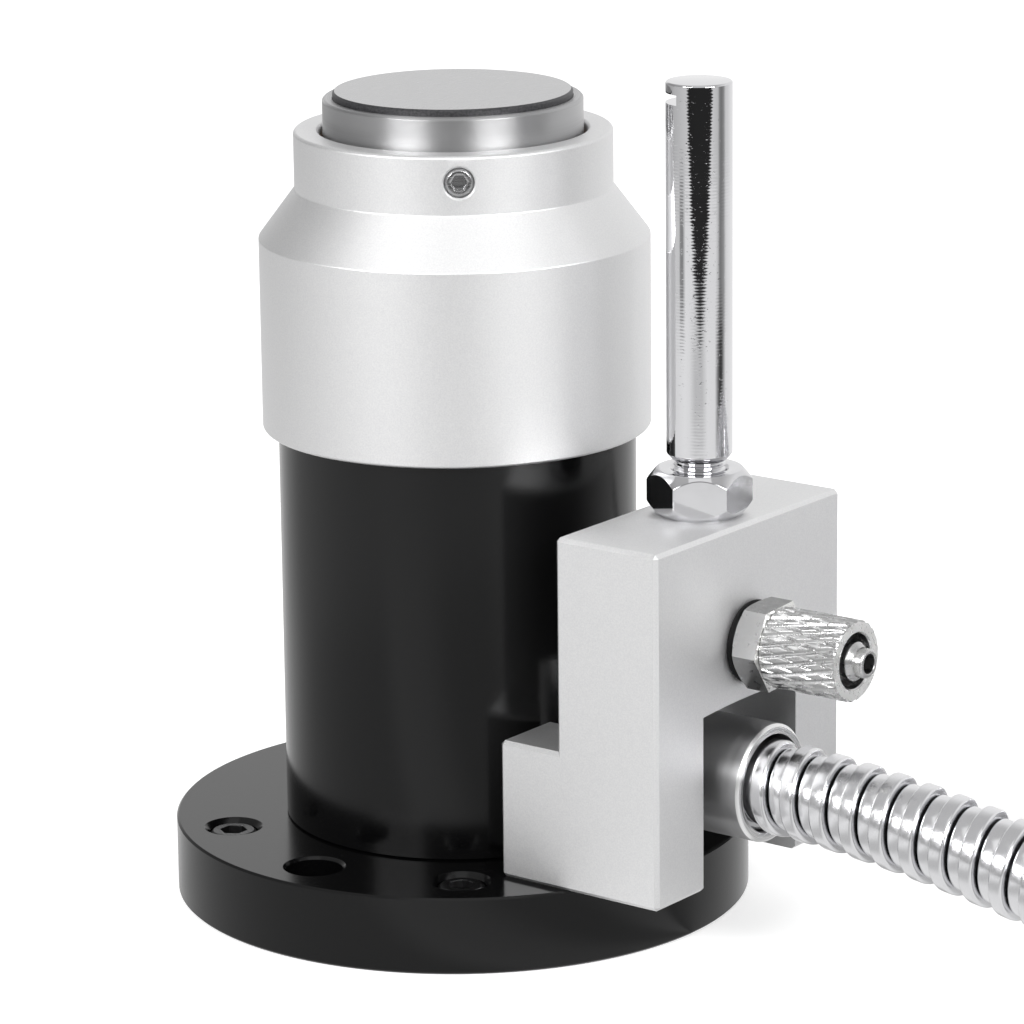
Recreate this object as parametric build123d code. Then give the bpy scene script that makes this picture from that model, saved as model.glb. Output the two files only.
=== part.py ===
from build123d import *
import math
import os

# A tool setter for a machine table. A carbide contact sits on a sprung plunger in the
# head, the plunger works an optical switch in the body, and an air block on the base
# carries a nozzle that blows the contact clean. The signal cable leaves in an armour.
# Millimetres, +Z up. The origin is the centre of the base's underside, and +X points
# from the body to the air block and the armoured cable.

# Main sizes, from which the others take theirs
body_diameter = 36.8
body_height = 41.2
base_thickness = 8.0
base_margin = 11.6
stroke = 3.5

# Fits, all of them radial, and how far a cut runs past the face that it opens
thread_gap = 0.03
running_gap = 0.05
seal_gap = 0.08
screw_hole_gap = 0.15
cut_past = 1.0

# Base flange
base_diameter = body_diameter + 2 * base_margin
base_edge = 0.5
base_top = base_thickness
mounting_hole_diameter = 5.8
mounting_hole_inset = 5.5
mounting_hole_offset = base_diameter / 2 - mounting_hole_inset
locator_height = 4.0
locator_top = base_top + locator_height

# Levelling screws in the base
levelling_diameter = 5.0
levelling_socket = 2.5
levelling_socket_depth = 2.4
levelling_inset = 5.4
levelling_angle = 52.43
levelling_radius = base_diameter / 2 - levelling_inset
levelling_recess = 0.35
levelling_countersink = 6.1
levelling_point = 1.0
levelling_edge = 0.3

# Body tube
body_top = base_top + body_height
body_wall = 4.9
body_shoulder = 0.9
head_seat_wall = 2.5
sensor_chamber_diameter = body_diameter - 2 * body_wall
head_seat_diameter = body_diameter - 2 * body_shoulder
spring_chamber_diameter = head_seat_diameter - 2 * head_seat_wall
web_depth = 1.2
web_thickness = 4.0
web_top = body_top - web_depth
web_bottom = web_top - web_thickness
head_ring_height = 2.6

# Screws that hold the body to the base, from beneath
body_screw_diameter = 3.0
body_screw_head = 5.8
body_screw_depth = 8.0
body_screw_spare = 1.0
body_screw_socket = 2.0
body_screw_socket_depth = 1.6
body_screw_count = 4
body_screw_radius = (body_diameter + sensor_chamber_diameter) / 4

# Collar round the contact, which slides in the bush
collar_flange_gap = 0.4
collar_flange_width = 1.35
collar_flange_height = 2.5
collar_wall = 1.5
collar_rim = 1.05
collar_rise = 3.2
collar_edge = 0.2
collar_roof = 3.1
collar_flange_diameter = spring_chamber_diameter - 2 * collar_flange_gap
collar_diameter = collar_flange_diameter - 2 * collar_flange_width

# Guide bush, held between the head cap and the body tube
bush_wall = 1.25
bush_diameter = collar_diameter + 2 * bush_wall
bush_height = 13.0
bush_flange_height = 4.0
seal_groove_height = 1.8
seal_groove_depth = 1.5
seal_relief = 0.5
seal_lip_height = 0.4

# Head cap
cap_overhang = 1.6
cap_diameter = body_diameter + 2 * cap_overhang
cap_bottom_bevel = 1.35
cap_bottom_bevel_height = 1.5
cap_skirt_height = 20.0
cone_height = 5.0
neck_wall = 1.75
neck_diameter = bush_diameter + 2 * neck_wall
neck_height = 6.0
neck_edge = 0.25
neck_lip_height = 1.2
neck_lip_gap = 0.4
cone_bottom = body_top + cap_skirt_height
cone_top = cone_bottom + cone_height
neck_top = cone_top + neck_height
bush_top = neck_top - neck_lip_height
bush_bottom = bush_top - bush_height
bush_flange_top = bush_bottom + bush_flange_height

# Set screw in the neck, which locks the bush
neck_screw_diameter = 3.0
neck_screw_socket = 1.5
neck_screw_socket_depth = 0.9
neck_screw_angle = -50.0
neck_screw_below_top = 2.7
neck_screw_countersink = 3.3
neck_screw_recess = 0.1
dog_diameter = 1.8
dog_length = 0.6
dog_shoulder_gap = 0.1
dog_shoulder = bush_diameter / 2 + dog_shoulder_gap

# Contact disc and stem, which move with the collar
disc_diameter = collar_diameter - 2 * collar_rim
disc_thickness = 2.0
disc_rise = 0.7
disc_edge = 0.2
collar_top = neck_top + collar_rise
disc_top = collar_top + disc_rise
disc_bottom = disc_top - disc_thickness
roof_bottom = disc_bottom - collar_roof
stem_diameter = 8.0
stem_edge = 0.3
stem_hole_gap = 0.5
stem_spigot_diameter = 5.0
stem_spigot_end_gap = 0.1
stem_reach = 6.0
stem_bottom = web_bottom - stem_reach

# Return spring round the stem
spring_cup_gap = 1.75
spring_diameter = collar_diameter - 2 * (collar_wall + spring_cup_gap)
spring_wire = 1.3
spring_turns = 7
spring_boss_height = 2.0
spring_boss_gap = 0.2

# Guide pin that keeps the plunger from turning
pin_diameter = 2.0
pin_inset = 0.9
pin_radius = collar_flange_diameter / 2 - pin_inset
pin_angle = 90.0
pin_end_wall = 0.3
pin_top_gap = 0.3
pin_edge = 0.2
pin_groove_spare = 0.5

# Vane under the stem, and the slotted optical sensor that it enters
sensor_width = 6.0
sensor_slot = 3.2
sensor_arm = 2.6
sensor_foot = 3.0
sensor_inset = 1.3
sensor_edge = 0.25
vane_thickness = 0.8
vane_width = 5.0
vane_length = 7.0
vane_centre = sensor_slot / 2 + sensor_arm + sensor_inset - sensor_chamber_diameter / 2
vane_tab_reach = 4.0
vane_hole_gap = 0.1
vane_screw_diameter = 3.0
vane_screw_head = 5.5
vane_screw_head_height = 1.6
vane_screw_head_edge = 0.8
vane_screw_length = 6.0
vane_screw_spare = 1.0
vane_screw_socket = 2.0
vane_screw_socket_depth = 1.2
vane_overlap = 1.0
sensor_top = stem_bottom - vane_length + vane_overlap

# Circuit board and its standoffs
board_thickness = 1.6
board_gap = 0.5
standoff_height = 8.4
board_bottom = locator_top + standoff_height
board_top = board_bottom + board_thickness
standoff_flats = 4.5
standoff_edge = 0.3
standoff_edge_angle = 30.0
standoff_inset = 3.9
standoff_offset = sensor_chamber_diameter / 2 - standoff_inset
standoff_stud = 2.5
standoff_stud_length = 4.5
standoff_hole_spare = 0.5
board_screw_head = 4.5
board_screw_head_height = 1.6
board_screw_head_edge = 0.6
board_screw_length = 4.5
board_screw_spare = 1.0
board_screw_slot_width = 0.6
board_screw_slot_depth = 0.7

# Sealing rings between the body and its ends
ring_section = 1.2
ring_squeeze = 0.02
ring_groove_width = 1.6

# Air block, which overhangs the base
block_overhang = 6.65
block_thickness = 12.25
block_width = 31.9
block_height = 36.35
block_edge = 0.4
foot_gap = 0.79
foot_height = 14.3
arch_width = 16.2
arch_side_height = 18.1
arch_rise = 0.3
block_outer = base_diameter / 2 + block_overhang
block_inner = block_outer - block_thickness
foot_inner = math.sqrt((body_diameter / 2) ** 2 - (arch_width / 2) ** 2) + foot_gap
foot_depth = block_outer - foot_inner
block_top = base_top + block_height

# Screws that hold the air block to the base, from beneath
block_screw_diameter = 3.0
block_screw_head = 5.5
block_screw_head_depth = 3.3
block_screw_head_recess = 0.3
block_screw_reach = 10.0
block_screw_end_gap = 0.5
block_screw_socket = 2.5
block_screw_socket_depth = 1.6
block_screw_inset = 15.15
block_screw_x = block_outer - block_screw_inset
block_screw_y = (arch_width + block_width) / 4

# Cable socket on the body
conduit_diameter = 9.5
socket_height = 9.7
socket_bore_gap = 0.3
socket_wall = 1.0
socket_reach = 2.65
socket_edge = 0.6
socket_bore_depth = 9.3
socket_spigot_diameter = 8.0
socket_spigot_length = 3.4
spotface_depth = 1.2
spotface_gap = 0.1
socket_z = base_top + socket_height
socket_bore = conduit_diameter + 2 * socket_bore_gap
socket_diameter = socket_bore + 2 * socket_wall
socket_start = body_diameter / 2 - spotface_depth
socket_end = block_outer + socket_reach
conduit_start = socket_end - socket_bore_depth

# Signal lead inside the body
lead_diameter = 4.0
lead_end = 5.0
lead_bore_gap = 0.2
wire_diameter = 0.9
wire_count = 4
wire_pitch = 1.0
wire_reach = 4.0
wire_bend = 1.2
wire_root = 0.5

# Air nozzle and its lock nut
nozzle_x = block_outer - block_thickness / 2
nozzle_diameter = 6.6
nozzle_rise = 3.8
nozzle_top = disc_top + nozzle_rise
nozzle_edge = 0.15
nozzle_straight_rise = 6.55
nozzle_straight_bottom = block_top + nozzle_straight_rise
nozzle_neck_diameter = 5.5
nozzle_neck_height = 0.8
nozzle_thread = 5.2
nozzle_thread_depth = 7.8
nozzle_thread_spare = 0.3
nozzle_bore = 3.6
nozzle_end_wall = 1.2
slot_height = 1.0
slot_top_gap = 1.1
slot_past_axis = -0.4
lock_nut_flats = 9.2
lock_nut_height = 4.7
lock_nut_angle = -24.5
lock_nut_bevel = 0.8
lock_nut_bevel_angle = 50.0

# Air fitting
fitting_above_arch = 6.0
fitting_z = base_top + arch_side_height + fitting_above_arch
washer_thickness = 0.75
washer_diameter = 8.4
shank_diameter = 5.0
shank_length = 5.0
shank_hole_spare = 0.3
fitting_flats = 8.2
fitting_hex_length = 2.8
fitting_hex_angle = 33.6
fitting_hex_bevel = 0.6
fitting_hex_bevel_angle = 30.0
fitting_thread = 6.0
fitting_thread_length = 5.0
stem_tube_diameter = 3.4
barb_reach = 8.2
barb_diameter = 4.0
barb_length = 1.4
barb_back = 0.3
barb_front = 0.5
fitting_tip_diameter = 3.0
fitting_tip_reach = 2.4
fitting_tip_edge = 0.2
fitting_bore = 2.0
air_way_diameter = 3.0
fitting_hex_start = block_outer + washer_thickness
fitting_hex_end = fitting_hex_start + fitting_hex_length
barb_start = fitting_hex_end + barb_reach
fitting_end = barb_start + fitting_tip_reach

# Hose nut on the fitting
hose_nut_diameter = 8.2
hose_nut_length = 8.84
hose_nut_gap = 0.2
hose_nut_hole = 5.6
hose_nut_mouth = 5.9
hose_nut_thread_length = 5.6
hose_nut_thread_runout = 0.5
hose_nut_edge = 0.15
hose_nut_start = fitting_hex_end + hose_nut_gap
hose_nut_end = hose_nut_start + hose_nut_length

# Coil that holds the rest of the armoured cable
coil_x = 118.0
coil_turn_radius = 54.0
coil_columns = 2
coil_layers = 2
turn_gap = 0.5
coil_edge = 4.6
coil_notch_gap = 0.3
turn_spacing = conduit_diameter + turn_gap
coil_y = coil_turn_radius + (coil_columns - 1) * turn_spacing / 2
coil_way_out_y = 2 * coil_y
coil_way_out_z = (coil_layers - 0.5) * conduit_diameter

# Route of the armoured cable, chosen by hand between the socket and the coil
conduit_sag = 0.1
conduit_z = socket_z - conduit_sag
conduit_points = [
    (conduit_start, 0.0, conduit_z),
    (42.0, 0.0, conduit_z),
    (56.0, 0.0, 16.4),
    (72.0, 0.0, 13.8),
    (88.0, 0.0, 8.6),
    (104.0, 0.0, conduit_diameter / 2),
    (coil_x, 0.0, conduit_diameter / 2),
]
conduit_end_points = [
    (coil_x, coil_way_out_y, coil_way_out_z),
    (97.0, coil_way_out_y, coil_way_out_z),
    (77.0, coil_way_out_y, coil_way_out_z - 0.9),
]

# End sleeve of the armour, and the thin cable that comes out of it
sleeve_wall = 0.75
sleeve_diameter = conduit_diameter + 2 * sleeve_wall
sleeve_cover = 8.0
sleeve_end_wall = 2.0
sleeve_edge = 0.3
sleeve_end_edge = 1.0
tail_diameter = 4.5
tail_points = [
    conduit_end_points[-1],
    (67.0, coil_way_out_y, coil_way_out_z - 1.35),
    (56.0, coil_way_out_y - 0.4, 9.6),
    (44.5, coil_way_out_y - 1.8, 4.3),
    (33.5, coil_way_out_y - 4.4, tail_diameter / 2),
    (24.0, coil_way_out_y - 8.0, tail_diameter / 2),
]
core_diameter = 1.1
core_length = 12.0
core_count = 4


def upright(radius, low, high, x=0.0, y=0.0):
    """A cylinder about a vertical axis, from one height to another."""
    rod = Cylinder(radius, high - low, align=(Align.CENTER, Align.CENTER, Align.MIN))
    return Pos(x, y, low) * rod


def level(radius, start, end, y=0.0, z=0.0):
    """A cylinder along X, from one x to another."""
    rod = Cylinder(radius, end - start, align=(Align.CENTER, Align.CENTER, Align.MIN))
    return Pos(start, y, z) * Rot(0, 90, 0) * rod


def brick(low, high):
    """A box between two opposite corners."""
    sides = [b - a for a, b in zip(low, high)]
    middle = [(a + b) / 2 for a, b in zip(low, high)]
    return Pos(*middle) * Box(*sides)


def turned(corners):
    """A solid turned about Z from its (radius, height) corners."""
    outline = Polyline([(radius, 0, height) for radius, height in corners], close=True)
    return revolve(make_face(outline), Axis.Z)


def ring(outer, inner, low, high):
    """A plain ring about Z."""
    return upright(outer, low, high) - upright(inner, low, high)


def hexagon(flats, low, high, bevel, bevel_angle):
    """A hexagon bar about Z whose corners are turned off at both ends."""
    bar = hexagon_prism(flats, high - low)
    corner = flats / 2 / math.cos(math.radians(30))
    slope = math.tan(math.radians(bevel_angle))
    blank = turned([
        (0, low),
        (corner - bevel, low),
        (corner + cut_past, low + (bevel + cut_past) * slope),
        (corner + cut_past, high - (bevel + cut_past) * slope),
        (corner - bevel, high),
        (0, high),
    ])
    return Pos(0, 0, low) * bar & blank


def hexagon_prism(flats, depth):
    """A plain hexagon prism, upright from the origin."""
    return extrude(RegularPolygon(flats / 2, 6, major_radius=False), depth)


def sealing_ring(inner, outer, height):
    """A round-section ring that fills the gap between two radii at a height."""
    section = (outer - inner) / 2 - ring_squeeze
    return Pos(0, 0, height) * Torus((inner + outer) / 2, section)


def around(radius, count, first_angle):
    """Points spaced evenly on a circle about Z."""
    angles = [math.radians(first_angle + 360 * i / count) for i in range(count)]
    return [(radius * math.cos(a), radius * math.sin(a)) for a in angles]


def levelling_places():
    angle = math.radians(levelling_angle)
    x = levelling_radius * math.cos(angle)
    y = levelling_radius * math.sin(angle)
    return [(-x, -y), (-x, y), (x, -y), (x, y)]


def block_screw_places():
    return [(block_screw_x, y) for y in (-block_screw_y, block_screw_y)]


def standoff_places():
    return [(0.0, y) for y in (-standoff_offset, standoff_offset)]


def make_base_flange():
    flange = upright(base_diameter / 2, 0, base_thickness)
    flange = chamfer(flange.edges(), base_edge)
    locator_radius = sensor_chamber_diameter / 2 - thread_gap
    groove_z = base_top + locator_height / 2
    flange += upright(locator_radius, base_top, locator_top)
    flange -= ring(
        locator_radius + cut_past,
        sensor_chamber_diameter / 2 - ring_section,
        groove_z - ring_groove_width / 2,
        groove_z + ring_groove_width / 2,
    )
    for x, y in levelling_places():
        flange -= upright(levelling_diameter / 2 + thread_gap, 0, base_top, x, y)
        depth = (levelling_countersink - levelling_diameter) / 2
        sink = Cone(
            levelling_diameter / 2,
            levelling_countersink / 2,
            depth,
            align=(Align.CENTER, Align.CENTER, Align.MAX),
        )
        flange -= Pos(x, y, base_top) * sink
    for y in (-mounting_hole_offset, mounting_hole_offset):
        flange -= upright(mounting_hole_diameter / 2, 0, base_top, 0, y)
    for x, y in around(body_screw_radius, body_screw_count, 45):
        flange -= countersunk_shape(x, y, thread_gap)
    for x, y in block_screw_places():
        flange -= upright(block_screw_diameter / 2 + thread_gap, 0, base_top, x, y)
        head_radius = block_screw_head / 2 + screw_hole_gap
        flange -= upright(head_radius, 0, block_screw_head_depth, x, y)
    for x, y in standoff_places():
        hole_bottom = locator_top - standoff_stud_length - standoff_hole_spare
        flange -= upright(standoff_stud / 2 + thread_gap, hole_bottom, locator_top, x, y)
    return flange


def countersunk_shape(x, y, gap=0.0):
    """A countersunk screw that points up, or with a gap the hole that it needs."""
    head = body_screw_head / 2 + gap
    shank = body_screw_diameter / 2 - thread_gap + 2 * gap
    screw = turned([
        (0, 0),
        (head, 0),
        (shank, head - shank),
        (shank, base_top + body_screw_depth),
        (0, base_top + body_screw_depth),
    ])
    return Pos(x, y, 0) * screw


def make_levelling_screws():
    top = base_top - levelling_recess
    radius = levelling_diameter / 2
    socket = hexagon_prism(levelling_socket, levelling_socket_depth)
    screw = turned([
        (0, levelling_recess),
        (radius - levelling_point, levelling_recess),
        (radius, levelling_recess + levelling_point),
        (radius, top - levelling_edge),
        (radius - levelling_edge, top),
        (0, top),
    ])
    screw -= Pos(0, 0, top - levelling_socket_depth) * socket
    return Compound(children=[Pos(x, y, 0) * screw for x, y in levelling_places()])


def make_body_screws():
    socket = hexagon_prism(body_screw_socket, body_screw_socket_depth)
    screws = []
    for x, y in around(body_screw_radius, body_screw_count, 45):
        screws.append(countersunk_shape(x, y) - Pos(x, y, 0) * socket)
    return Compound(children=screws)


def make_block_screws():
    socket = hexagon_prism(block_screw_socket, block_screw_socket_depth)
    head_bottom = block_screw_head_recess
    screw = upright(block_screw_head / 2, head_bottom, block_screw_head_depth)
    shank_top = base_top + block_screw_reach - block_screw_end_gap
    screw += upright(block_screw_diameter / 2 - thread_gap, head_bottom, shank_top)
    screw -= Pos(0, 0, head_bottom) * socket
    return Compound(children=[Pos(x, y, 0) * screw for x, y in block_screw_places()])


def make_body_tube():
    seat_radius = head_seat_diameter / 2
    tube = upright(body_diameter / 2, base_top, body_top)
    tube += upright(seat_radius, body_top, bush_bottom)
    tube -= upright(sensor_chamber_diameter / 2, base_top, web_bottom)
    tube -= upright(spring_chamber_diameter / 2, web_top, bush_bottom)
    boss_radius = spring_diameter / 2 - spring_wire - spring_boss_gap
    tube += upright(boss_radius, web_top, web_top + spring_boss_height)
    stem_hole = stem_diameter / 2 + stem_hole_gap
    tube -= upright(stem_hole, web_bottom, web_top + spring_boss_height)
    groove_z = body_top + head_ring_height
    tube -= ring(
        seat_radius + cut_past,
        seat_radius - ring_section,
        groove_z - ring_groove_width / 2,
        groove_z + ring_groove_width / 2,
    )
    spigot = socket_spigot_diameter / 2 + thread_gap
    tube -= level(spigot, 0, body_diameter / 2, 0, socket_z)
    spotface = socket_diameter / 2 + spotface_gap
    tube -= level(spotface, socket_start, body_diameter, 0, socket_z)
    for x, y in around(body_screw_radius, body_screw_count, 45):
        hole_top = base_top + body_screw_depth + body_screw_spare
        tube -= upright(body_screw_diameter / 2, base_top, hole_top, x, y)
    x, y = around(pin_radius, 1, pin_angle)[0]
    tube -= upright(pin_diameter / 2, web_bottom + pin_end_wall, web_top, x, y)
    return tube


def make_base_ring():
    outer = sensor_chamber_diameter / 2
    return sealing_ring(outer - ring_section, outer, base_top + locator_height / 2)


def make_head_ring():
    outer = head_seat_diameter / 2 + thread_gap
    inner = head_seat_diameter / 2 - ring_section
    return sealing_ring(inner, outer, body_top + head_ring_height)


def neck_screw_frame():
    """Where the neck's set screw stands, with its own +Z pointing out of the neck."""
    height = neck_top - neck_screw_below_top
    return Rot(0, 0, neck_screw_angle) * Pos(0, 0, height) * Rot(0, 90, 0)


def make_head_cap():
    cap = cap_diameter / 2
    neck = neck_diameter / 2
    lip = collar_diameter / 2 + neck_lip_gap
    seat = head_seat_diameter / 2 + thread_gap
    bush = bush_diameter / 2
    head = turned([
        (seat, body_top),
        (cap - cap_bottom_bevel, body_top),
        (cap, body_top + cap_bottom_bevel_height),
        (cap, cone_bottom),
        (neck, cone_top),
        (neck, neck_top - neck_edge),
        (neck - neck_edge, neck_top),
        (lip + neck_edge, neck_top),
        (lip, neck_top - neck_edge),
        (lip, bush_top),
        (bush, bush_top),
        (bush, bush_flange_top),
        (seat, bush_flange_top),
    ])
    hole_radius = neck_screw_diameter / 2 + thread_gap
    hole = upright(hole_radius, bush - cut_past, neck + cut_past)
    sink_depth = (neck_screw_countersink - neck_screw_diameter) / 2
    sink = Cone(
        neck_screw_diameter / 2,
        neck_screw_countersink / 2 + sink_depth,
        2 * sink_depth,
        align=(Align.CENTER, Align.CENTER, Align.MIN),
    )
    return head - neck_screw_frame() * (hole + Pos(0, 0, neck - sink_depth) * sink)


def make_neck_set_screw():
    outer = neck_diameter / 2 - neck_screw_recess
    screw = upright(neck_screw_diameter / 2, dog_shoulder, outer)
    screw += upright(dog_diameter / 2, dog_shoulder - dog_length, dog_shoulder)
    socket = hexagon_prism(neck_screw_socket, neck_screw_socket_depth)
    screw -= Pos(0, 0, outer - neck_screw_socket_depth) * socket
    return neck_screw_frame() * screw


def make_guide_bush():
    bore = collar_diameter / 2 + running_gap
    outer = bush_diameter / 2 - thread_gap
    flange = head_seat_diameter / 2
    bush = turned([
        (bore, bush_bottom),
        (flange, bush_bottom),
        (flange, bush_flange_top),
        (outer, bush_flange_top),
        (outer, bush_top),
        (bore, bush_top),
    ])
    groove_z = (bush_bottom + bush_flange_top) / 2
    bush -= ring(
        bore + seal_groove_depth,
        bore - cut_past,
        groove_z - seal_groove_height / 2,
        groove_z + seal_groove_height / 2,
    )
    dimple_radius = dog_diameter / 2 + thread_gap
    dimple = upright(dimple_radius, dog_shoulder - dog_length, dog_shoulder)
    return bush - neck_screw_frame() * dimple


def make_plunger_seal():
    """A square ring with a wiping lip that leans on the collar."""
    lip = collar_diameter / 2 + seal_gap
    outer = collar_diameter / 2 + running_gap + seal_groove_depth - thread_gap
    middle = (bush_bottom + bush_flange_top) / 2
    half = seal_groove_height / 2 - thread_gap
    return turned([
        (lip + seal_relief, middle - half),
        (outer, middle - half),
        (outer, middle + half),
        (lip, middle + half),
        (lip, middle + half - seal_lip_height),
        (lip + seal_relief, middle),
    ])


def make_contact_disc():
    disc = upright(disc_diameter / 2, disc_bottom, disc_top)
    return chamfer(disc.edges().group_by(Axis.Z)[-1], disc_edge)


def make_contact_collar():
    outer = collar_diameter / 2
    pocket = disc_diameter / 2 + thread_gap
    cup = outer - collar_wall
    flange = collar_flange_diameter / 2
    flange_bottom = bush_bottom - collar_flange_height
    screw = stem_spigot_diameter / 2 + thread_gap
    collar = turned([
        (screw, roof_bottom),
        (cup, roof_bottom),
        (cup, flange_bottom),
        (flange, flange_bottom),
        (flange, bush_bottom),
        (outer, bush_bottom),
        (outer, collar_top - collar_edge),
        (outer - collar_edge, collar_top),
        (pocket, collar_top),
        (pocket, disc_bottom),
        (screw, disc_bottom),
    ])
    x, y = around(pin_radius, 1, pin_angle)[0]
    groove_top = bush_bottom + stroke + pin_groove_spare
    groove_radius = pin_diameter / 2 + running_gap
    return collar - upright(groove_radius, flange_bottom, groove_top, x, y)


def make_plunger_stem():
    stem = upright(stem_diameter / 2, stem_bottom, roof_bottom)
    stem = chamfer(stem.edges().group_by(Axis.Z)[0], stem_edge)
    spigot_top = disc_bottom - stem_spigot_end_gap
    stem += upright(stem_spigot_diameter / 2, roof_bottom, spigot_top)
    hole_top = stem_bottom + vane_screw_length + vane_screw_spare
    return stem - upright(vane_screw_diameter / 2, stem_bottom, hole_top)


def make_return_spring():
    radius = (spring_diameter - spring_wire) / 2
    low = web_top + spring_wire / 2
    high = roof_bottom - spring_wire / 2
    path = Pos(0, 0, low) * Helix((high - low) / spring_turns, high - low, radius)
    start = Plane(path @ 0, z_dir=path % 0)
    return sweep(start * Circle(spring_wire / 2), path=path, is_frenet=True)


def make_guide_pin():
    x, y = around(pin_radius, 1, pin_angle)[0]
    bottom = web_bottom + pin_end_wall
    pin = upright(pin_diameter / 2, bottom, bush_bottom - pin_top_gap, x, y)
    return chamfer(pin.edges(), pin_edge)


def make_trigger_vane():
    half = vane_width / 2
    back = vane_centre - vane_thickness / 2
    tab = brick((back, -half, stem_bottom - vane_thickness), (vane_tab_reach, half, stem_bottom))
    front = back + vane_thickness
    blade = brick((back, -half, stem_bottom - vane_length), (front, half, stem_bottom))
    hole = vane_screw_diameter / 2 + vane_hole_gap
    return tab + blade - upright(hole, stem_bottom - vane_thickness, stem_bottom)


def make_vane_screw():
    seat = stem_bottom - vane_thickness
    screw = upright(vane_screw_head / 2, seat - vane_screw_head_height, seat)
    screw = fillet(screw.edges().group_by(Axis.Z)[0], vane_screw_head_edge)
    shank = vane_screw_diameter / 2 - thread_gap
    screw += upright(shank, seat, stem_bottom + vane_screw_length)
    socket = hexagon_prism(vane_screw_socket, vane_screw_socket_depth)
    return screw - Pos(0, 0, seat - vane_screw_head_height) * socket


def make_slot_sensor():
    half_slot = sensor_slot / 2
    reach = half_slot + sensor_arm
    half = sensor_width / 2
    body = brick(
        (vane_centre - reach, -half, board_top),
        (vane_centre + reach, half, sensor_top),
    )
    slot = brick(
        (vane_centre - half_slot, -half, board_top + sensor_foot),
        (vane_centre + half_slot, half, sensor_top),
    )
    return chamfer((body - slot).edges().filter_by(Axis.Z), sensor_edge)


def make_circuit_board():
    radius = sensor_chamber_diameter / 2 - board_gap
    board = upright(radius, board_bottom, board_top)
    for x, y in standoff_places():
        hole = standoff_stud / 2 + screw_hole_gap
        board -= upright(hole, board_bottom, board_top, x, y)
    return board


def make_board_standoffs():
    post = hexagon(standoff_flats, locator_top, board_bottom, standoff_edge, standoff_edge_angle)
    post += upright(standoff_stud / 2, locator_top - standoff_stud_length, locator_top)
    hole_bottom = board_bottom - board_screw_length - board_screw_spare
    post -= upright(standoff_stud / 2, hole_bottom, board_bottom)
    return Compound(children=[Pos(x, y, 0) * post for x, y in standoff_places()])


def make_board_screws():
    head_top = board_top + board_screw_head_height
    screw = upright(board_screw_head / 2, board_top, head_top)
    screw = fillet(screw.edges().group_by(Axis.Z)[-1], board_screw_head_edge)
    shank_bottom = board_bottom - board_screw_length
    screw += upright(standoff_stud / 2 - thread_gap, shank_bottom, board_top)
    half = board_screw_slot_width / 2
    screw -= brick(
        (-board_screw_head, -half, head_top - board_screw_slot_depth),
        (board_screw_head, half, head_top + cut_past),
    )
    return Compound(children=[Pos(x, y, 0) * screw for x, y in standoff_places()])


def make_signal_lead():
    """The cable's jacket in the socket, with its cores bent up to the board."""
    lead = level(lead_diameter / 2, lead_end, conduit_start, 0, socket_z)
    for i in range(wire_count):
        y = (i - (wire_count - 1) / 2) * wire_pitch
        turn = (lead_end - wire_reach, y, socket_z)
        path = FilletPolyline(
            [(lead_end + wire_root, y, socket_z), turn, (turn[0], y, board_bottom)],
            radius=wire_bend,
        )
        start = Plane(path @ 0, z_dir=path % 0)
        lead += sweep(start * Circle(wire_diameter / 2), path=path)
    return lead


def make_cable_socket():
    outer = socket_diameter / 2
    socket = level(outer, socket_start, socket_end, 0, socket_z)
    socket = chamfer(socket.edges().group_by(Axis.X)[-1], socket_edge)
    spigot_start = socket_start - socket_spigot_length
    socket += level(socket_spigot_diameter / 2, spigot_start, socket_start, 0, socket_z)
    socket -= level(socket_bore / 2, conduit_start, socket_end, 0, socket_z)
    lead_bore = lead_diameter / 2 + lead_bore_gap
    return socket - level(lead_bore, spigot_start, conduit_start, 0, socket_z)


def make_air_block():
    half = block_width / 2
    side = Polyline(
        [
            (foot_inner, -half, base_top),
            (block_outer, -half, base_top),
            (block_outer, -half, block_top),
            (block_inner, -half, block_top),
            (block_inner, -half, base_top + foot_height),
            (foot_inner, -half, base_top + foot_height),
        ],
        close=True,
    )
    block = extrude(make_face(side), block_width, dir=(0, 1, 0))
    step = block.edges().filter_by(Axis.Y).sort_by_distance(
        (block_inner, 0, base_top + foot_height)
    )[0]
    outside = [edge for edge in block.edges() if not edge.is_same(step)]
    block = chamfer(outside, block_edge)
    block -= make_arch()
    x, y = nozzle_x, 0.0
    thread_bottom = block_top - nozzle_thread_depth - nozzle_thread_spare
    block -= upright(nozzle_thread / 2 + running_gap, thread_bottom, block_top, x, y)
    block -= upright(air_way_diameter / 2, fitting_z, block_top, x, y)
    thread_end = fitting_hex_start - shank_length - shank_hole_spare
    block -= level(shank_diameter / 2 + thread_gap, thread_end, block_outer, 0, fitting_z)
    block -= level(air_way_diameter / 2, nozzle_x, block_outer, 0, fitting_z)
    for x, y in block_screw_places():
        hole_top = base_top + block_screw_reach
        block -= upright(block_screw_diameter / 2, base_top, hole_top, x, y)
    return block


def make_arch():
    """The gap between the block's legs, with a slightly arched top."""
    half = arch_width / 2
    side_top = base_top + arch_side_height
    floor = base_top - cut_past
    start = foot_inner - cut_past
    crown = ThreePointArc(
        (start, half, side_top),
        (start, 0, side_top + arch_rise),
        (start, -half, side_top),
    )
    sides = Polyline(
        [
            (start, -half, side_top),
            (start, -half, floor),
            (start, half, floor),
            (start, half, side_top),
        ]
    )
    return extrude(make_face(crown + sides), foot_depth + 2 * cut_past, dir=(1, 0, 0))


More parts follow.
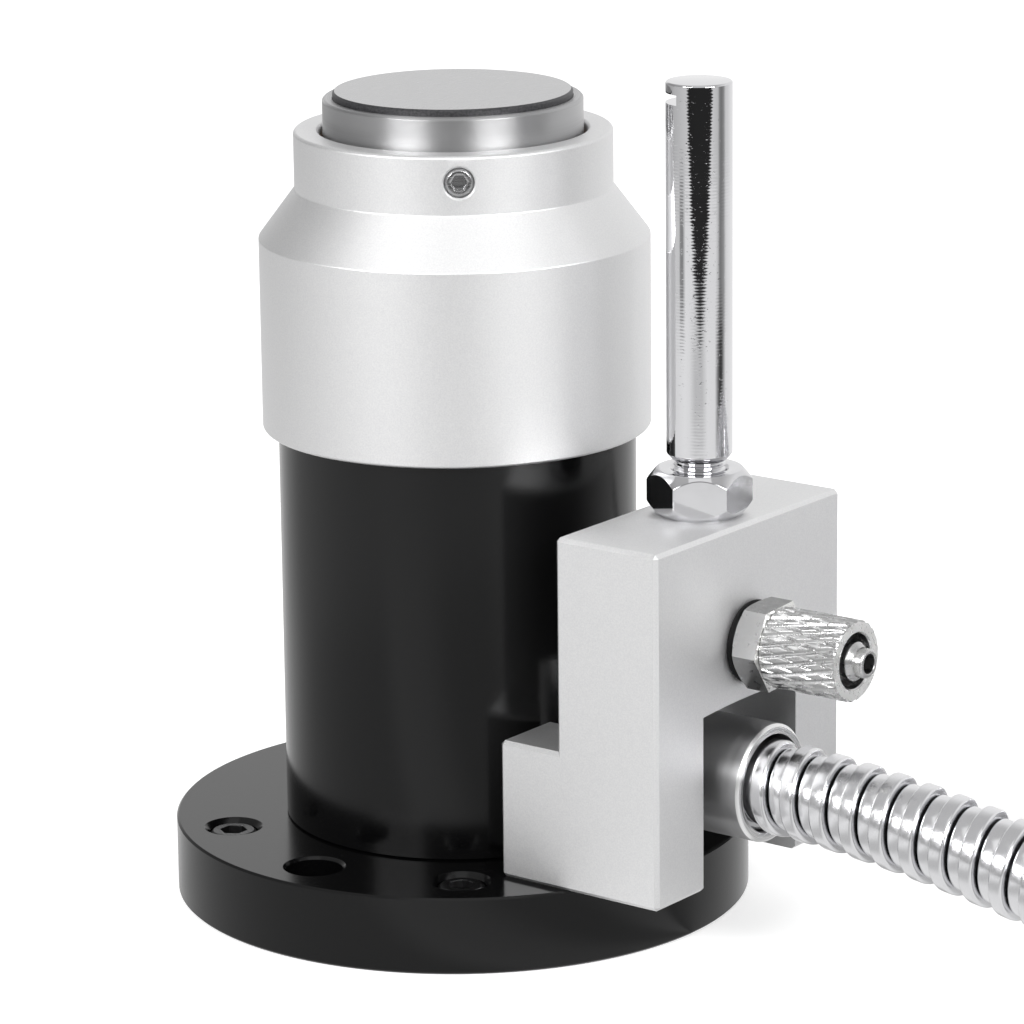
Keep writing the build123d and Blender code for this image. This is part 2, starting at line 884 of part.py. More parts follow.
def make_air_nozzle():
    outer = nozzle_diameter / 2
    neck = nozzle_neck_diameter / 2
    thread = nozzle_thread / 2
    bore = nozzle_bore / 2
    neck_bottom = nozzle_straight_bottom - nozzle_neck_height
    slot_top = nozzle_top - slot_top_gap
    nozzle = turned([
        (bore, block_top - nozzle_thread_depth),
        (thread, block_top - nozzle_thread_depth),
        (thread, neck_bottom),
        (neck, neck_bottom),
        (outer, nozzle_straight_bottom),
        (outer, nozzle_top - nozzle_edge),
        (outer - nozzle_edge, nozzle_top),
        (0, nozzle_top),
        (0, nozzle_top - nozzle_end_wall),
        (bore, nozzle_top - nozzle_end_wall),
    ])
    nozzle -= brick(
        (-nozzle_diameter, -nozzle_diameter, slot_top - slot_height),
        (slot_past_axis, nozzle_diameter, slot_top),
    )
    return Pos(nozzle_x, 0, 0) * nozzle


def make_nozzle_lock_nut():
    top = block_top + lock_nut_height
    nut = hexagon(lock_nut_flats, block_top, top, lock_nut_bevel, lock_nut_bevel_angle)
    nut -= upright(nozzle_thread / 2 + running_gap, block_top, top)
    return Pos(nozzle_x, 0, 0) * Rot(0, 0, lock_nut_angle) * nut


def fitting_frame():
    """The fitting's own +Z along its bore, out of the block."""
    return Pos(0, 0, fitting_z) * Rot(0, 90, 0)


def make_fitting_washer():
    washer = ring(
        washer_diameter / 2,
        shank_diameter / 2 + running_gap,
        block_outer,
        fitting_hex_start,
    )
    return fitting_frame() * washer


def make_fitting_body():
    bore = fitting_bore / 2
    shank = shank_diameter / 2
    thread = fitting_thread / 2
    stem = stem_tube_diameter / 2
    barb = barb_diameter / 2
    tip = fitting_tip_diameter / 2
    barb_end = barb_start + barb_length
    thread_end = fitting_hex_end + fitting_thread_length
    body = turned([
        (bore, fitting_hex_start - shank_length),
        (shank, fitting_hex_start - shank_length),
        (shank, fitting_hex_start),
        (thread, fitting_hex_start),
        (thread, thread_end),
        (stem, thread_end),
        (stem, barb_start),
        (barb, barb_start + barb_back),
        (barb, barb_end - barb_front),
        (tip, barb_end),
        (tip, fitting_end - fitting_tip_edge),
        (tip - fitting_tip_edge, fitting_end),
        (bore, fitting_end),
    ])
    nut = hexagon(
        fitting_flats, fitting_hex_start, fitting_hex_end, fitting_hex_bevel, fitting_hex_bevel_angle
    )
    nut -= upright(thread / 2, fitting_hex_start, fitting_hex_end)
    body += Rot(0, 0, fitting_hex_angle) * nut
    return fitting_frame() * body


def make_hose_nut():
    outer = hose_nut_diameter / 2
    thread = fitting_thread / 2 + running_gap
    hole = hose_nut_hole / 2
    mouth = hose_nut_mouth / 2
    thread_end = hose_nut_start + hose_nut_thread_length
    nut = turned([
        (thread, hose_nut_start),
        (outer - hose_nut_edge, hose_nut_start),
        (outer, hose_nut_start + hose_nut_edge),
        (outer, hose_nut_end - hose_nut_edge),
        (outer - hose_nut_edge, hose_nut_end),
        (mouth, hose_nut_end),
        (hole, hose_nut_end - (mouth - hole)),
        (hole, thread_end + hose_nut_thread_runout),
        (thread, thread_end),
    ])
    return fitting_frame() * nut


def bend_radii(points):
    """The largest tangent arcs that the runs of a route allow, one for each corner."""
    radii = []
    for before, here, after in zip(points, points[1:], points[2:]):
        arriving = Vector(*here) - Vector(*before)
        leaving = Vector(*after) - Vector(*here)
        half_turn = math.radians(arriving.get_angle(leaving)) / 2
        radii.append(0.45 * min(arriving.length, leaving.length) / math.tan(half_turn))
    return radii


def make_cord(points, diameter, name):
    """A round cord along straight runs joined by tangent arcs."""
    radii = bend_radii(points)
    path = FilletPolyline(points, radius=radii)
    start = Plane(path @ 0, z_dir=path % 0)
    cord = sweep(start * Circle(diameter / 2), path=path)
    expected = math.pi * diameter**2 / 4 * path.length
    print(name, "length", round(path.length, 1), "radii", [round(r) for r in radii])
    print(name, "volume over section times length", round(cord.volume / expected, 4))
    return cord


def make_conduit_coil():
    """The outer shape of the wound turns, open where the cord comes in and goes out."""
    half_width = (coil_columns - 1) * turn_spacing / 2 + conduit_diameter / 2
    height = coil_layers * conduit_diameter
    section = RectangleRounded(2 * half_width, height, coil_edge)
    place = Plane((coil_turn_radius, 0, height / 2), x_dir=(1, 0, 0), z_dir=(0, -1, 0))
    coil = Pos(coil_x, coil_y, 0) * revolve(place * section, Axis.Z)
    inside = coil_y - sleeve_diameter / 2 - coil_notch_gap
    outside = coil_turn_radius + half_width + cut_past
    low_corner = (coil_x - outside, coil_y - outside, -cut_past)
    way_in = brick(low_corner, (coil_x, coil_y - inside, height + cut_past))
    layer_top = height - conduit_diameter - coil_notch_gap
    way_out = brick(
        (coil_x - outside, coil_y + inside, layer_top),
        (coil_x, coil_y + outside, height + cut_past),
    )
    return coil - way_in - way_out


def end_frame():
    """The end of the armour, with +Z the way that the cable leaves it."""
    end = Vector(*conduit_end_points[-1])
    return Plane(end, z_dir=end - Vector(*conduit_end_points[-2]))


def make_end_sleeve():
    outer = sleeve_diameter / 2
    bore = conduit_diameter / 2 + running_gap
    hole = tail_diameter / 2 + running_gap
    sleeve = turned([
        (bore, -sleeve_cover),
        (outer - sleeve_edge, -sleeve_cover),
        (outer, -sleeve_cover + sleeve_edge),
        (outer, sleeve_end_wall - sleeve_end_edge),
        (outer - sleeve_end_edge, sleeve_end_wall),
        (hole, sleeve_end_wall),
        (hole, 0),
        (bore, 0),
    ])
    return end_frame() * sleeve


def make_tail_cores():
    """The bare cores that come out of the end of the signal cable, side by side."""
    end = Vector(*tail_points[-1])
    heading = (end - Vector(*tail_points[-2])).normalized()
    across = heading.cross(Vector(0, 0, 1))
    cores = []
    for i in range(core_count):
        side = (i - (core_count - 1) / 2) * core_diameter
        frame = Plane(end + across * side, z_dir=heading)
        cores.append(frame * upright(core_diameter / 2 - thread_gap, 0, core_length))
    return Compound(children=cores)


parts = {
    "base_flange": make_base_flange(),
    "levelling_screws": make_levelling_screws(),
    "body_screws": make_body_screws(),
    "block_screws": make_block_screws(),
    "body_tube": make_body_tube(),
    "base_sealing_ring": make_base_ring(),
    "head_sealing_ring": make_head_ring(),
    "head_cap": make_head_cap(),
    "neck_set_screw": make_neck_set_screw(),
    "guide_bush": make_guide_bush(),
    "plunger_seal": make_plunger_seal(),
    "contact_disc": make_contact_disc(),
    "contact_collar": make_contact_collar(),
    "plunger_stem": make_plunger_stem(),
    "return_spring": make_return_spring(),
    "guide_pin": make_guide_pin(),
    "trigger_vane": make_trigger_vane(),
    "vane_screw": make_vane_screw(),
    "slot_sensor": make_slot_sensor(),
    "circuit_board": make_circuit_board(),
    "board_standoffs": make_board_standoffs(),
    "board_screws": make_board_screws(),
    "signal_lead": make_signal_lead(),
    "cable_socket": make_cable_socket(),
    "air_block": make_air_block(),
    "air_nozzle": make_air_nozzle(),
    "nozzle_lock_nut": make_nozzle_lock_nut(),
    "fitting_washer": make_fitting_washer(),
    "fitting_body": make_fitting_body(),
    "hose_nut": make_hose_nut(),
    "conduit": make_cord(conduit_points, conduit_diameter, "conduit"),
    "conduit_coil": make_conduit_coil(),
    "conduit_end_run": make_cord(conduit_end_points, conduit_diameter, "conduit_end_run"),
    "conduit_end_sleeve": make_end_sleeve(),
    "signal_cable_tail": make_cord(tail_points, tail_diameter, "signal_cable_tail"),
    "signal_cable_cores": make_tail_cores(),
}

os.makedirs("parts", exist_ok=True)
for name, shape in parts.items():
    export_step(shape, f"parts/{name}.step")
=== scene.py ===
import bisect
import math

import bmesh
import bpy
from mathutils import Matrix, Vector


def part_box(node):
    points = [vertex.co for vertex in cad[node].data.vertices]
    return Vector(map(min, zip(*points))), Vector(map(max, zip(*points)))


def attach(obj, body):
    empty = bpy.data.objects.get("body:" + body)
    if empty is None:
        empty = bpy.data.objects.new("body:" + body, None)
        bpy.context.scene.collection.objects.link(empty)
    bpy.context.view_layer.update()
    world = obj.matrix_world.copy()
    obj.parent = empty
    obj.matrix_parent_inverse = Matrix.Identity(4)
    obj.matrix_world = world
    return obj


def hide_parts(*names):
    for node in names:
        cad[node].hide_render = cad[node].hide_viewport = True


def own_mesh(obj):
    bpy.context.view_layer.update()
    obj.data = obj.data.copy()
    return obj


# A tool setter on a pale floor. Shapes are written in millimetres and turned to metres
# as they are finished. +Z is up, and +X points from the body to the air block.

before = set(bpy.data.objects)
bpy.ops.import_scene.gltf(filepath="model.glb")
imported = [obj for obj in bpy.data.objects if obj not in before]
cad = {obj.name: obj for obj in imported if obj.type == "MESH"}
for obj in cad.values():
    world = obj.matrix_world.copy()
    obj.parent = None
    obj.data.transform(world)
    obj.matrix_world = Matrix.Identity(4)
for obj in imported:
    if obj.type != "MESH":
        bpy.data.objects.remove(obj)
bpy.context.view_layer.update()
mm = 0.001


def extent(node):
    """The lowest and the highest corner of a node, in millimetres."""
    low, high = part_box(node)
    return low / mm, high / mm


# Places and radii that the pieces share, from the frame
flange_high = extent("base_flange")[1]
tube_low, tube_high = extent("body_tube")
cap_low, cap_high = extent("head_cap")
disc_low, disc_high = extent("contact_disc")
spring_low, spring_high = extent("return_spring")
socket_low, socket_high = extent("cable_socket")
nozzle_low, nozzle_high = extent("air_nozzle")
nut_low, nut_high = extent("nozzle_lock_nut")
washer_low, washer_high = extent("fitting_washer")
hose_nut_low, hose_nut_high = extent("hose_nut")
flange_radius, tube_radius, cap_radius = flange_high.x, tube_high.x, cap_high.x
flange_top, body_top = tube_low.z, cap_low.z
nozzle_x = (nozzle_low.x + nozzle_high.x) / 2
nozzle_radius = nozzle_high.x - nozzle_x
socket_z = (socket_low.z + socket_high.z) / 2
fitting_z = (hose_nut_low.z + hose_nut_high.z) / 2
hose_nut_radius = hose_nut_high.y
neck_screw_heading = -50.0
neck_screw_z = cap_high.z - 2.7


# Camera and studio

# The camera's turns in degrees, its place in metres and its lens on a 36 mm sensor
camera_heading = 37.5083
camera_below_level = 14.7816
camera_roll = -0.6573
camera_place = (0.304876, -0.388134, 0.169958)
camera_lens = 173.38

# The lamps, the floor and the painted front edge that metal sees on the paper, in metres: a
# painted reflection, dark past that edge. The edge lies further out on both sides, by paper_notch
# times the way aside.
lamp_target = Vector((0.015, 0.0, 0.05))
lamp_distance = 1.1
floor_half_width = 3.0
floor_below_part = 0.0001
painted_paper_front = 0.283
paper_notch = 0.24

# How bright the paper looks in metal, all painted: from each distance in metres on, greys by the heading.
# Its darker greys are painted shade and painted reflections of the part and the cable on the paper.
paper_painted_shades = [
    (0.0, [
        (-180, 0.9), (-160, 0.7), (-114, 0.7), (-106, 1.0), (-88, 0.9), (-72, 0.6), (-46, 0.6),
        (-28, 0.9), (5, 0.92), (20, 0.4), (50, 0.6), (60, 0.7), (75, 0.76), (85, 0.8), (110, 0.84),
        (150, 0.95), (180, 0.9),
    ]),
    (0.15, [
        (-180, 0.8), (-172, 0.72), (-150, 0.9), (-106, 1.0), (-90, 0.97), (-28, 0.97), (0, 0.95),
        (4, 0.66), (12, 0.23), (20, 0.05), (29, 0.08), (38, 0.5), (47, 0.95), (75, 1.0), (110, 1.0),
        (150, 0.98), (180, 0.8),
    ]),
    (0.208, [
        (-180, 0.8), (-172, 0.72), (-150, 0.9), (-106, 1.0), (-90, 0.95), (-70, 0.68), (-46, 0.68),
        (-28, 0.97), (0, 0.95), (4, 0.66), (12, 0.23), (20, 0.05), (29, 0.08), (38, 0.5), (47, 0.95),
        (75, 1.0), (110, 1.0), (150, 0.98), (180, 0.8),
    ]),
    (0.29, [
        (-180, 0.95), (-160, 0.82), (-128, 0.76), (-123, 0.33), (-114, 0.29), (-109, 0.6), (-103, 0.97),
        (3, 0.93), (12, 0.69), (20, 0.24), (29, 0.29), (38, 0.4), (48, 0.85), (60, 0.95), (75, 1.0),
        (110, 1.0), (150, 0.98), (180, 0.95),
    ]),
    (0.40, [
        (-180, 0.45), (-160, 0.5), (-148, 0.59), (-130, 0.64), (-112, 0.7), (-60, 0.85), (-12, 0.83),
        (-4, 0.75), (12, 0.66), (20, 0.27), (29, 0.23), (38, 0.35), (48, 0.78), (60, 0.83), (75, 0.95),
        (110, 1.0), (135, 0.9), (147, 0.46), (180, 0.45),
    ]),
]

# How bright the room looks in metal: its walls by the heading, and its ceiling
wall_shades = [
    (-180, 0.34), (-150, 0.36), (-120, 0.4), (0, 0.42), (20, 0.8), (45, 0.96),
    (146, 0.96), (162, 0.42), (180, 0.34),
]
ceiling_shade = 0.56


def place_camera():
    """The photograph's own viewpoint, 15 degrees above the table."""
    lens = bpy.data.cameras.new("studio_camera")
    lens.lens = camera_lens
    lens.sensor_width = 36.0
    lens.clip_start = 0.01
    lens.clip_end = 20.0
    camera = bpy.data.objects.new("studio_camera", lens)
    turn = Matrix.Rotation(math.radians(camera_heading), 4, "Z")
    tilt = Matrix.Rotation(math.radians(90 - camera_below_level), 4, "X")
    roll = Matrix.Rotation(math.radians(camera_roll), 4, "Z")
    camera.matrix_world = Matrix.Translation(camera_place) @ turn @ tilt @ roll
    bpy.context.scene.collection.objects.link(camera)
    bpy.context.scene.camera = camera


def linear(hex_colour):
    """A linear colour from its sRGB hex value."""
    channels = [int(hex_colour[i:i + 2], 16) / 255 for i in (1, 3, 5)]
    return [c / 12.92 if c <= 0.04045 else ((c + 0.055) / 1.055) ** 2.4 for c in channels] + [1.0]


def add(tree, kind, inputs=None, stops=(), **settings):
    """One node with its settings, values and links. A node given as a value means its first output."""
    node = tree.nodes.new("ShaderNode" + kind)
    for name, value in settings.items():
        setattr(node, name, value)
    for name, value in (inputs or {}).items():
        if isinstance(value, bpy.types.Node):
            value = value.outputs[0]
        if isinstance(value, bpy.types.NodeSocket):
            tree.links.new(value, node.inputs[name])
        else:
            node.inputs[name].default_value = value
    for i, (place, grey) in enumerate(stops):
        elements = node.color_ramp.elements
        stop = elements[i] if i < 2 else elements.new(place)
        stop.position = place
        stop.color = (grey, grey, grey, 1.0)
    return node


def by_heading(tree, vector, greys):
    """A grey for each direction round the part: (degrees from +X, grey) in order."""
    around = add(tree, "TexGradient", {"Vector": vector}, gradient_type="RADIAL")
    return add(tree, "ValToRGB", {"Fac": around}, stops=[(h / 360 + 0.5, g) for h, g in greys])


def light_the_room():
    """A white room for the eye. Metal sees its white back, grey front and grey ceiling."""
    world = bpy.data.worlds.new("studio")
    world.use_nodes = True
    bpy.context.scene.world = world
    tree = world.node_tree
    tree.nodes.clear()
    toward = add(tree, "TexCoord").outputs["Generated"]
    walls = by_heading(tree, toward, wall_shades)
    ceiling = (ceiling_shade, ceiling_shade, ceiling_shade, 1.0)
    height = add(tree, "SeparateXYZ", {"Vector": toward}).outputs["Z"]
    up = add(tree, "MapRange", {"Value": height, "From Min": 0.55, "From Max": 0.85})
    room = add(tree, "Mix", {0: up, 6: walls, 7: ceiling}, data_type="RGBA")
    shine = add(tree, "Background", {"Color": room.outputs[2]})
    plain = add(tree, "Background", {"Color": (1.0, 1.0, 1.0, 1.0), "Strength": 0.5})
    white = add(tree, "Background", {"Color": (1.0, 1.0, 1.0, 1.0)})
    rays = add(tree, "LightPath").outputs
    seen = add(tree, "Math", {0: rays["Is Camera Ray"], 1: rays["Is Transmission Ray"]}, operation="MAXIMUM")
    inner = add(tree, "MixShader", {0: rays["Is Glossy Ray"], 1: plain, 2: shine})
    add(tree, "OutputWorld", {"Surface": add(tree, "MixShader", {0: seen, 1: inner, 2: white})})


def softbox(name, heading, height, size, watts):
    """A flat lamp that faces the part, at a heading and a height in degrees."""
    lamp = bpy.data.lights.new(name, "AREA")
    lamp.shape = "RECTANGLE"
    lamp.size, lamp.size_y = size
    lamp.energy = watts
    box = bpy.data.objects.new(name, lamp)
    out = Vector((math.cos(math.radians(heading)), math.sin(math.radians(heading)), 0.0))
    out = out * math.cos(math.radians(height)) + Vector((0, 0, math.sin(math.radians(height))))
    facing = (-out).to_track_quat("-Z", "Y").to_matrix().to_4x4()
    box.matrix_world = Matrix.Translation(lamp_target + out * lamp_distance) @ facing
    bpy.context.scene.collection.objects.link(box)


def floor_paper():
    """White seamless paper, its shadow grey to the eye; metal sees painted shade and a painted front edge on
    it.
    """
    paper = bpy.data.materials.new("matte_white_paper")
    paper.use_nodes = True
    tree = paper.node_tree
    tree.nodes.clear()
    rays = add(tree, "LightPath").outputs
    matte = add(tree, "BsdfDiffuse", {"Color": linear("#f2f2f2")})
    lift = add(tree, "Emission", {"Color": (1.0, 1.0, 1.0, 1.0), "Strength": 0.55})
    lifted = add(tree, "AddShader", {0: matte, 1: lift})
    where = add(tree, "TexCoord").outputs["Object"]
    placed = add(tree, "Mapping", {"Vector": where, "Location": (-nozzle_x * mm, 0.0, 0.0)})
    away = add(tree, "VectorMath", {0: placed}, operation="LENGTH").outputs["Value"]
    # Painted shade and painted reflections for metal: greys by the heading, blended by distance
    table = None
    for distance, greys in paper_painted_shades:
        shade = by_heading(tree, placed, greys).outputs[0]
        if table:
            share = add(tree, "MapRange", {
                "Value": away, "From Min": distance - 0.02, "From Max": distance + 0.02,
            })
            shade = add(tree, "Mix", {0: share, 6: table, 7: shade}, data_type="RGBA").outputs[2]
        table = shade
    # Painted front edge: past it metal sees the paper nearly black, further out to the sides
    turned_to_eye = add(tree, "Mapping", {
        "Vector": placed, "Rotation": (0.0, 0.0, math.radians(-camera_heading)),
    })
    way = add(tree, "SeparateXYZ", {"Vector": turned_to_eye}).outputs
    aside = add(tree, "Math", {0: way["X"]}, operation="ABSOLUTE")
    beyond = add(tree, "Math", {0: aside, 1: paper_notch, 2: way["Y"]}, operation="MULTIPLY_ADD")
    painted_edge = add(tree, "MapRange", {
        "Value": beyond, "From Min": -painted_paper_front - 0.015, "From Max": -painted_paper_front + 0.015,
        "To Min": 0.03, "To Max": 1.0,
    })
    shine = add(tree, "Emission", {"Color": table, "Strength": painted_edge})
    seen = add(tree, "Math", {0: rays["Is Camera Ray"], 1: rays["Is Transmission Ray"]}, operation="MAXIMUM")
    lit = add(tree, "MixShader", {0: seen, 1: matte, 2: lifted})
    both = add(tree, "MixShader", {0: rays["Is Glossy Ray"], 1: lit, 2: shine})
    add(tree, "OutputMaterial", {"Surface": both})
    return paper


def lay_floor():
    """A wide sheet of paper under the part."""
    form = bmesh.new()
    bmesh.ops.create_grid(form, x_segments=1, y_segments=1, size=floor_half_width)
    bmesh.ops.translate(form, verts=form.verts, vec=(0.0, 0.0, -floor_below_part))
    shape = bpy.data.meshes.new("floor")
    form.to_mesh(shape)
    form.free()
    shape.materials.append(floor_paper())
    sheet = bpy.data.objects.new("floor", shape)
    bpy.context.scene.collection.objects.link(sheet)


# Finishes

def surface(name, colour, metallic, roughness, **more):
    """A new material: its node tree, its shader and the object's own coordinates in metres."""
    material = bpy.data.materials.new(name)
    material.use_nodes = True
    tree = material.node_tree
    tree.nodes.clear()
    shader = add(tree, "BsdfPrincipled", {
        "Base Color": linear(colour), "Metallic": metallic, "Roughness": roughness, **more,
    })
    add(tree, "OutputMaterial", {"Surface": shader})
    return material, tree, shader, add(tree, "TexCoord").outputs["Object"]


def vary(tree, shader, pattern, colours=None, roughness=None, relief=None):
    """Lets a pattern between 0.3 and 0.7 change colour, roughness and height in millimetres."""
    share = add(tree, "MapRange", {"Value": pattern, "From Min": 0.3, "From Max": 0.7})
    if colours:
        dark, light = map(linear, colours)
        mixed = add(tree, "Mix", {0: share, 6: dark, 7: light}, data_type="RGBA")
        tree.links.new(mixed.outputs[2], shader.inputs["Base Color"])
    if roughness:
        low, high = roughness
        felt = add(tree, "MapRange", {"Value": share, "To Min": low, "To Max": high})
        tree.links.new(felt.outputs[0], shader.inputs["Roughness"])
    if relief:
        bump = add(tree, "Bump", {"Height": pattern, "Distance": relief * mm, "Strength": 1.0})
        tree.links.new(bump.outputs[0], shader.inputs["Normal"])


def rings_round(tree, where, pitch, along_x=False, centre_z=0.0):
    """Rings that a lathe leaves: noise by the way out from the axis and the way along it."""
    placed = add(tree, "Mapping", {"Vector": where, "Location": (0.0, 0.0, -centre_z * mm)})
    parts = add(tree, "SeparateXYZ", {"Vector": placed}).outputs
    along, across = ("X", "Z") if along_x else ("Z", "X")
    flat = add(tree, "CombineXYZ", {"X": parts[across], "Y": parts["Y"]})
    out = add(tree, "VectorMath", {0: flat}, operation="LENGTH").outputs["Value"]
    rings = add(tree, "CombineXYZ", {"X": out, "Y": parts[along]})
    return add(tree, "TexNoise", {"Vector": rings, "Scale": 1 / (pitch * mm), "Detail": 2.0})


def blasted_silver():
    """Aluminium blasted with fine glass and clear anodised: an even silver, its grain 0.15 mm."""
    material, tree, shader, where = surface("blasted_anodised_aluminium", "#e8e8e9", 1.0, 0.5)
    grain = add(tree, "TexNoise", {"Vector": where, "Scale": 1 / (0.15 * mm), "Detail": 2.0})
    vary(tree, shader, grain, ("#e4e4e5", "#ededed"), (0.46, 0.54), 0.006)
    return material


def black_anodised():
    """Turned and black anodised aluminium: deep black with a satin edge where it turns away."""
    material, tree, shader, where = surface(
        "black_anodised_aluminium", "#050506", 0.0, 0.18, **{"Specular IOR Level": 0.32},
    )
    grain = add(tree, "TexNoise", {"Vector": where, "Scale": 1 / (0.2 * mm), "Detail": 3.0})
    vary(tree, shader, grain, ("#040405", "#070707"), (0.16, 0.2), 0.0006)
    return material


def turned_steel(name, colour, roughness, pitch, stretch=0.0, along_x=False, centre_z=0.0):
    """Turned steel: the tool's fine rings draw each highlight out along the axis."""
    material, tree, shader, where = surface(
        name, colour, 1.0, roughness, **{"Anisotropic": stretch, "Anisotropic Rotation": 0.25},
    )
    placed = add(tree, "Mapping", {"Vector": where, "Location": (0.0, 0.0, -centre_z * mm)})
    axis = (1.0, 0.0, 0.0) if along_x else (0.0, 0.0, 1.0)
    round_it = add(tree, "VectorMath", {0: axis, 1: placed}, operation="CROSS_PRODUCT")
    unit = add(tree, "VectorMath", {0: round_it}, operation="NORMALIZE")
    tree.links.new(unit.outputs[0], shader.inputs["Tangent"])
    rings = rings_round(tree, where, pitch, along_x, centre_z)
    vary(tree, shader, rings, None, (roughness * 0.85, roughness * 1.2))
    return material


def lapped_carbide():
    """Lapped tungsten carbide: a grey mirror, softened by crossed grinding lines."""
    material, tree, shader, where = surface("lapped_carbide", "#b9b9ba", 1.0, 0.28)
    lines = add(tree, "Mapping", {"Vector": where, "Scale": (18.0, 0.6, 1.0)})
    marks = add(tree, "TexNoise", {"Vector": lines, "Scale": 1 / (1.4 * mm), "Detail": 3.0})
    vary(tree, shader, marks, None, (0.25, 0.33), 0.001)
    return material


def sintered_carbide():
    """The disc's side as it came from the furnace: dark grey with little shine."""
    material, tree, shader, where = surface("sintered_carbide", "#58585a", 1.0, 0.45)
    grain = add(tree, "TexNoise", {"Vector": where, "Scale": 1 / (0.2 * mm)})
    vary(tree, shader, grain, ("#4c4c4e", "#666668"), (0.4, 0.5), 0.004)
    return material


def polished_chrome():
    """Chrome over a turned tube: a mirror with slow waves, the lathe's pitch of 0.33 mm and pits."""
    material, tree, shader, where = surface("polished_chrome", "#dadadc", 1.0, 0.035)
    waves = add(tree, "TexNoise", {"Vector": where, "Scale": 1 / (2.2 * mm), "Detail": 2.0})
    pits = add(tree, "TexNoise", {"Vector": where, "Scale": 1 / (0.35 * mm), "Detail": 2.0})
    pitted = add(tree, "MapRange", {"Value": pits, "From Min": 0.64, "From Max": 0.8, "To Max": 0.35})
    turning = add(tree, "TexWave", {
        "Vector": where, "Scale": math.tau / 20 / (0.33 * mm), "Distortion": 1.6, "Detail Scale": 1.5,
    }, bands_direction="Z")
    rings = add(tree, "Math", {0: turning.outputs["Fac"], 1: 0.06, 2: pitted}, operation="MULTIPLY_ADD")
    height = add(tree, "Math", {0: waves, 1: rings}, operation="ADD")
    bump = add(tree, "Bump", {"Height": height, "Distance": 0.012 * mm, "Strength": 1.0})
    tree.links.new(bump.outputs[0], shader.inputs["Normal"])
    smear = add(tree, "TexNoise", {"Vector": where, "Scale": 1 / (5.0 * mm), "Detail": 3.0})
    vary(tree, shader, smear, None, (0.02, 0.06))
    return material


def plated(name, colour, roughness, wave, depth):
    """Bright plating over brass, with the slow waves that tumbling leaves."""
    material, tree, shader, where = surface(name, colour, 1.0, roughness)
    waves = add(tree, "TexNoise", {"Vector": where, "Scale": 1 / (wave * mm), "Detail": 2.0})
    vary(tree, shader, waves, None, (roughness * 0.7, roughness * 1.3), depth)
    return material


def armour_strip():
    """Rolled stainless strip: bright and scuffed on its crowns, with painted shade where the turns lock
    deep.
    """
    material, tree, shader, where = surface("rolled_stainless_strip", "#e2e2e4", 1.0, 0.2)
    depth = add(tree, "Attribute", attribute_name="lock_shade_depth").outputs["Fac"]
    scuff = add(tree, "TexNoise", {"Vector": where, "Scale": 1 / (0.3 * mm), "Detail": 4.0})
    vary(tree, shader, scuff, None, (0.16, 0.26), 0.0015)
    # Painted shade: the deeper a place lies in the lock, the darker its colour, down to #3a3a3b
    locked = add(tree, "MapRange", {"Value": depth, "From Min": 0.78, "From Max": 0.95})
    mixed = add(tree, "Mix", {0: locked, 6: linear("#e2e2e4"), 7: linear("#3a3a3b")}, data_type="RGBA")
    tree.links.new(mixed.outputs[2], shader.inputs["Base Color"])
    return material


def moulded(name, dark, light, size, roughness):
    """Moulded or drawn plastic or rubber: a fine tooth and a little variation."""
    material, tree, shader, where = surface(name, dark, 0.0, roughness, **{"Specular IOR Level": 0.15})
    tooth = add(tree, "TexNoise", {"Vector": where, "Scale": 1 / (size * mm), "Detail": 3.0})
    vary(tree, shader, tooth, (dark, light), (roughness - 0.06, roughness + 0.08), 0.004)
    return material


# Shapes

def finished(name, form, *materials, smooth_angle=28.0):
    """A piece from its form in millimetres, smooth but for its real edges."""
    bmesh.ops.scale(form, verts=form.verts, vec=(mm, mm, mm))
    shape = bpy.data.meshes.new(name)
    form.to_mesh(shape)
    form.free()
    shape.shade_smooth()
    shape.set_sharp_from_angle(angle=math.radians(smooth_angle))
    for material in materials:
        shape.materials.append(material)
    piece = bpy.data.objects.new(name, shape)
    bpy.context.scene.collection.objects.link(piece)
    even = piece.modifiers.new("even_faces", "WEIGHTED_NORMAL")
    even.keep_sharp = True
    return piece


def turned(outline, steps=128, closed=True):
    """A solid turned about Z from (radius, height) corners, closed or from axis to axis."""
    form = bmesh.new()
    verts = [form.verts.new((radius, 0.0, height)) for radius, height in outline]
    pairs = list(zip(verts, verts[1:]))
    if closed:
        pairs.append((verts[-1], verts[0]))
    edges = [form.edges.new(pair) for pair in pairs]
    bmesh.ops.spin(
        form, geom=verts + edges, cent=(0, 0, 0), axis=(0, 0, 1), dvec=(0, 0, 0),
        angle=math.tau, steps=steps, use_merge=True, use_duplicate=False,
    )
    bmesh.ops.remove_doubles(form, verts=form.verts, dist=1e-4)
    bmesh.ops.recalc_face_normals(form, faces=form.faces)
    return form


def soften(form, width, segments=2, angle=30.0):
    """Breaks every edge sharper than the angle."""
    sharp = [e for e in form.edges if e.is_manifold and e.calc_face_angle(0.0) > math.radians(angle)]
    bmesh.ops.bevel(
        form, geom=sharp, offset=width, offset_type="OFFSET", segments=segments, profile=0.5,
        affect="EDGES", clamp_overlap=True, material=-1,
    )
    bmesh.ops.remove_doubles(form, verts=form.verts, dist=1e-4)
    return form


def laid_along_x(form, x=0.0, z=0.0):
    """Lays a form that stands on Z down along X, with its foot at a place."""
    bmesh.ops.rotate(form, verts=form.verts, matrix=Matrix.Rotation(math.radians(90), 3, "Y"))
    bmesh.ops.translate(form, verts=form.verts, vec=(x, 0.0, z))
    return form


def moved(form, x=0.0, y=0.0, z=0.0, turn=0.0):
    """Turns a form about Z by degrees, and moves it."""
    bmesh.ops.rotate(form, verts=form.verts, matrix=Matrix.Rotation(math.radians(turn), 3, "Z"))
    bmesh.ops.translate(form, verts=form.verts, vec=(x, y, z))
    return form


def rod(radius, low, high):
    """A plain upright rod, to cut a hole with."""
    return turned([(0, low), (radius, low), (radius, high), (0, high)], 48, False)


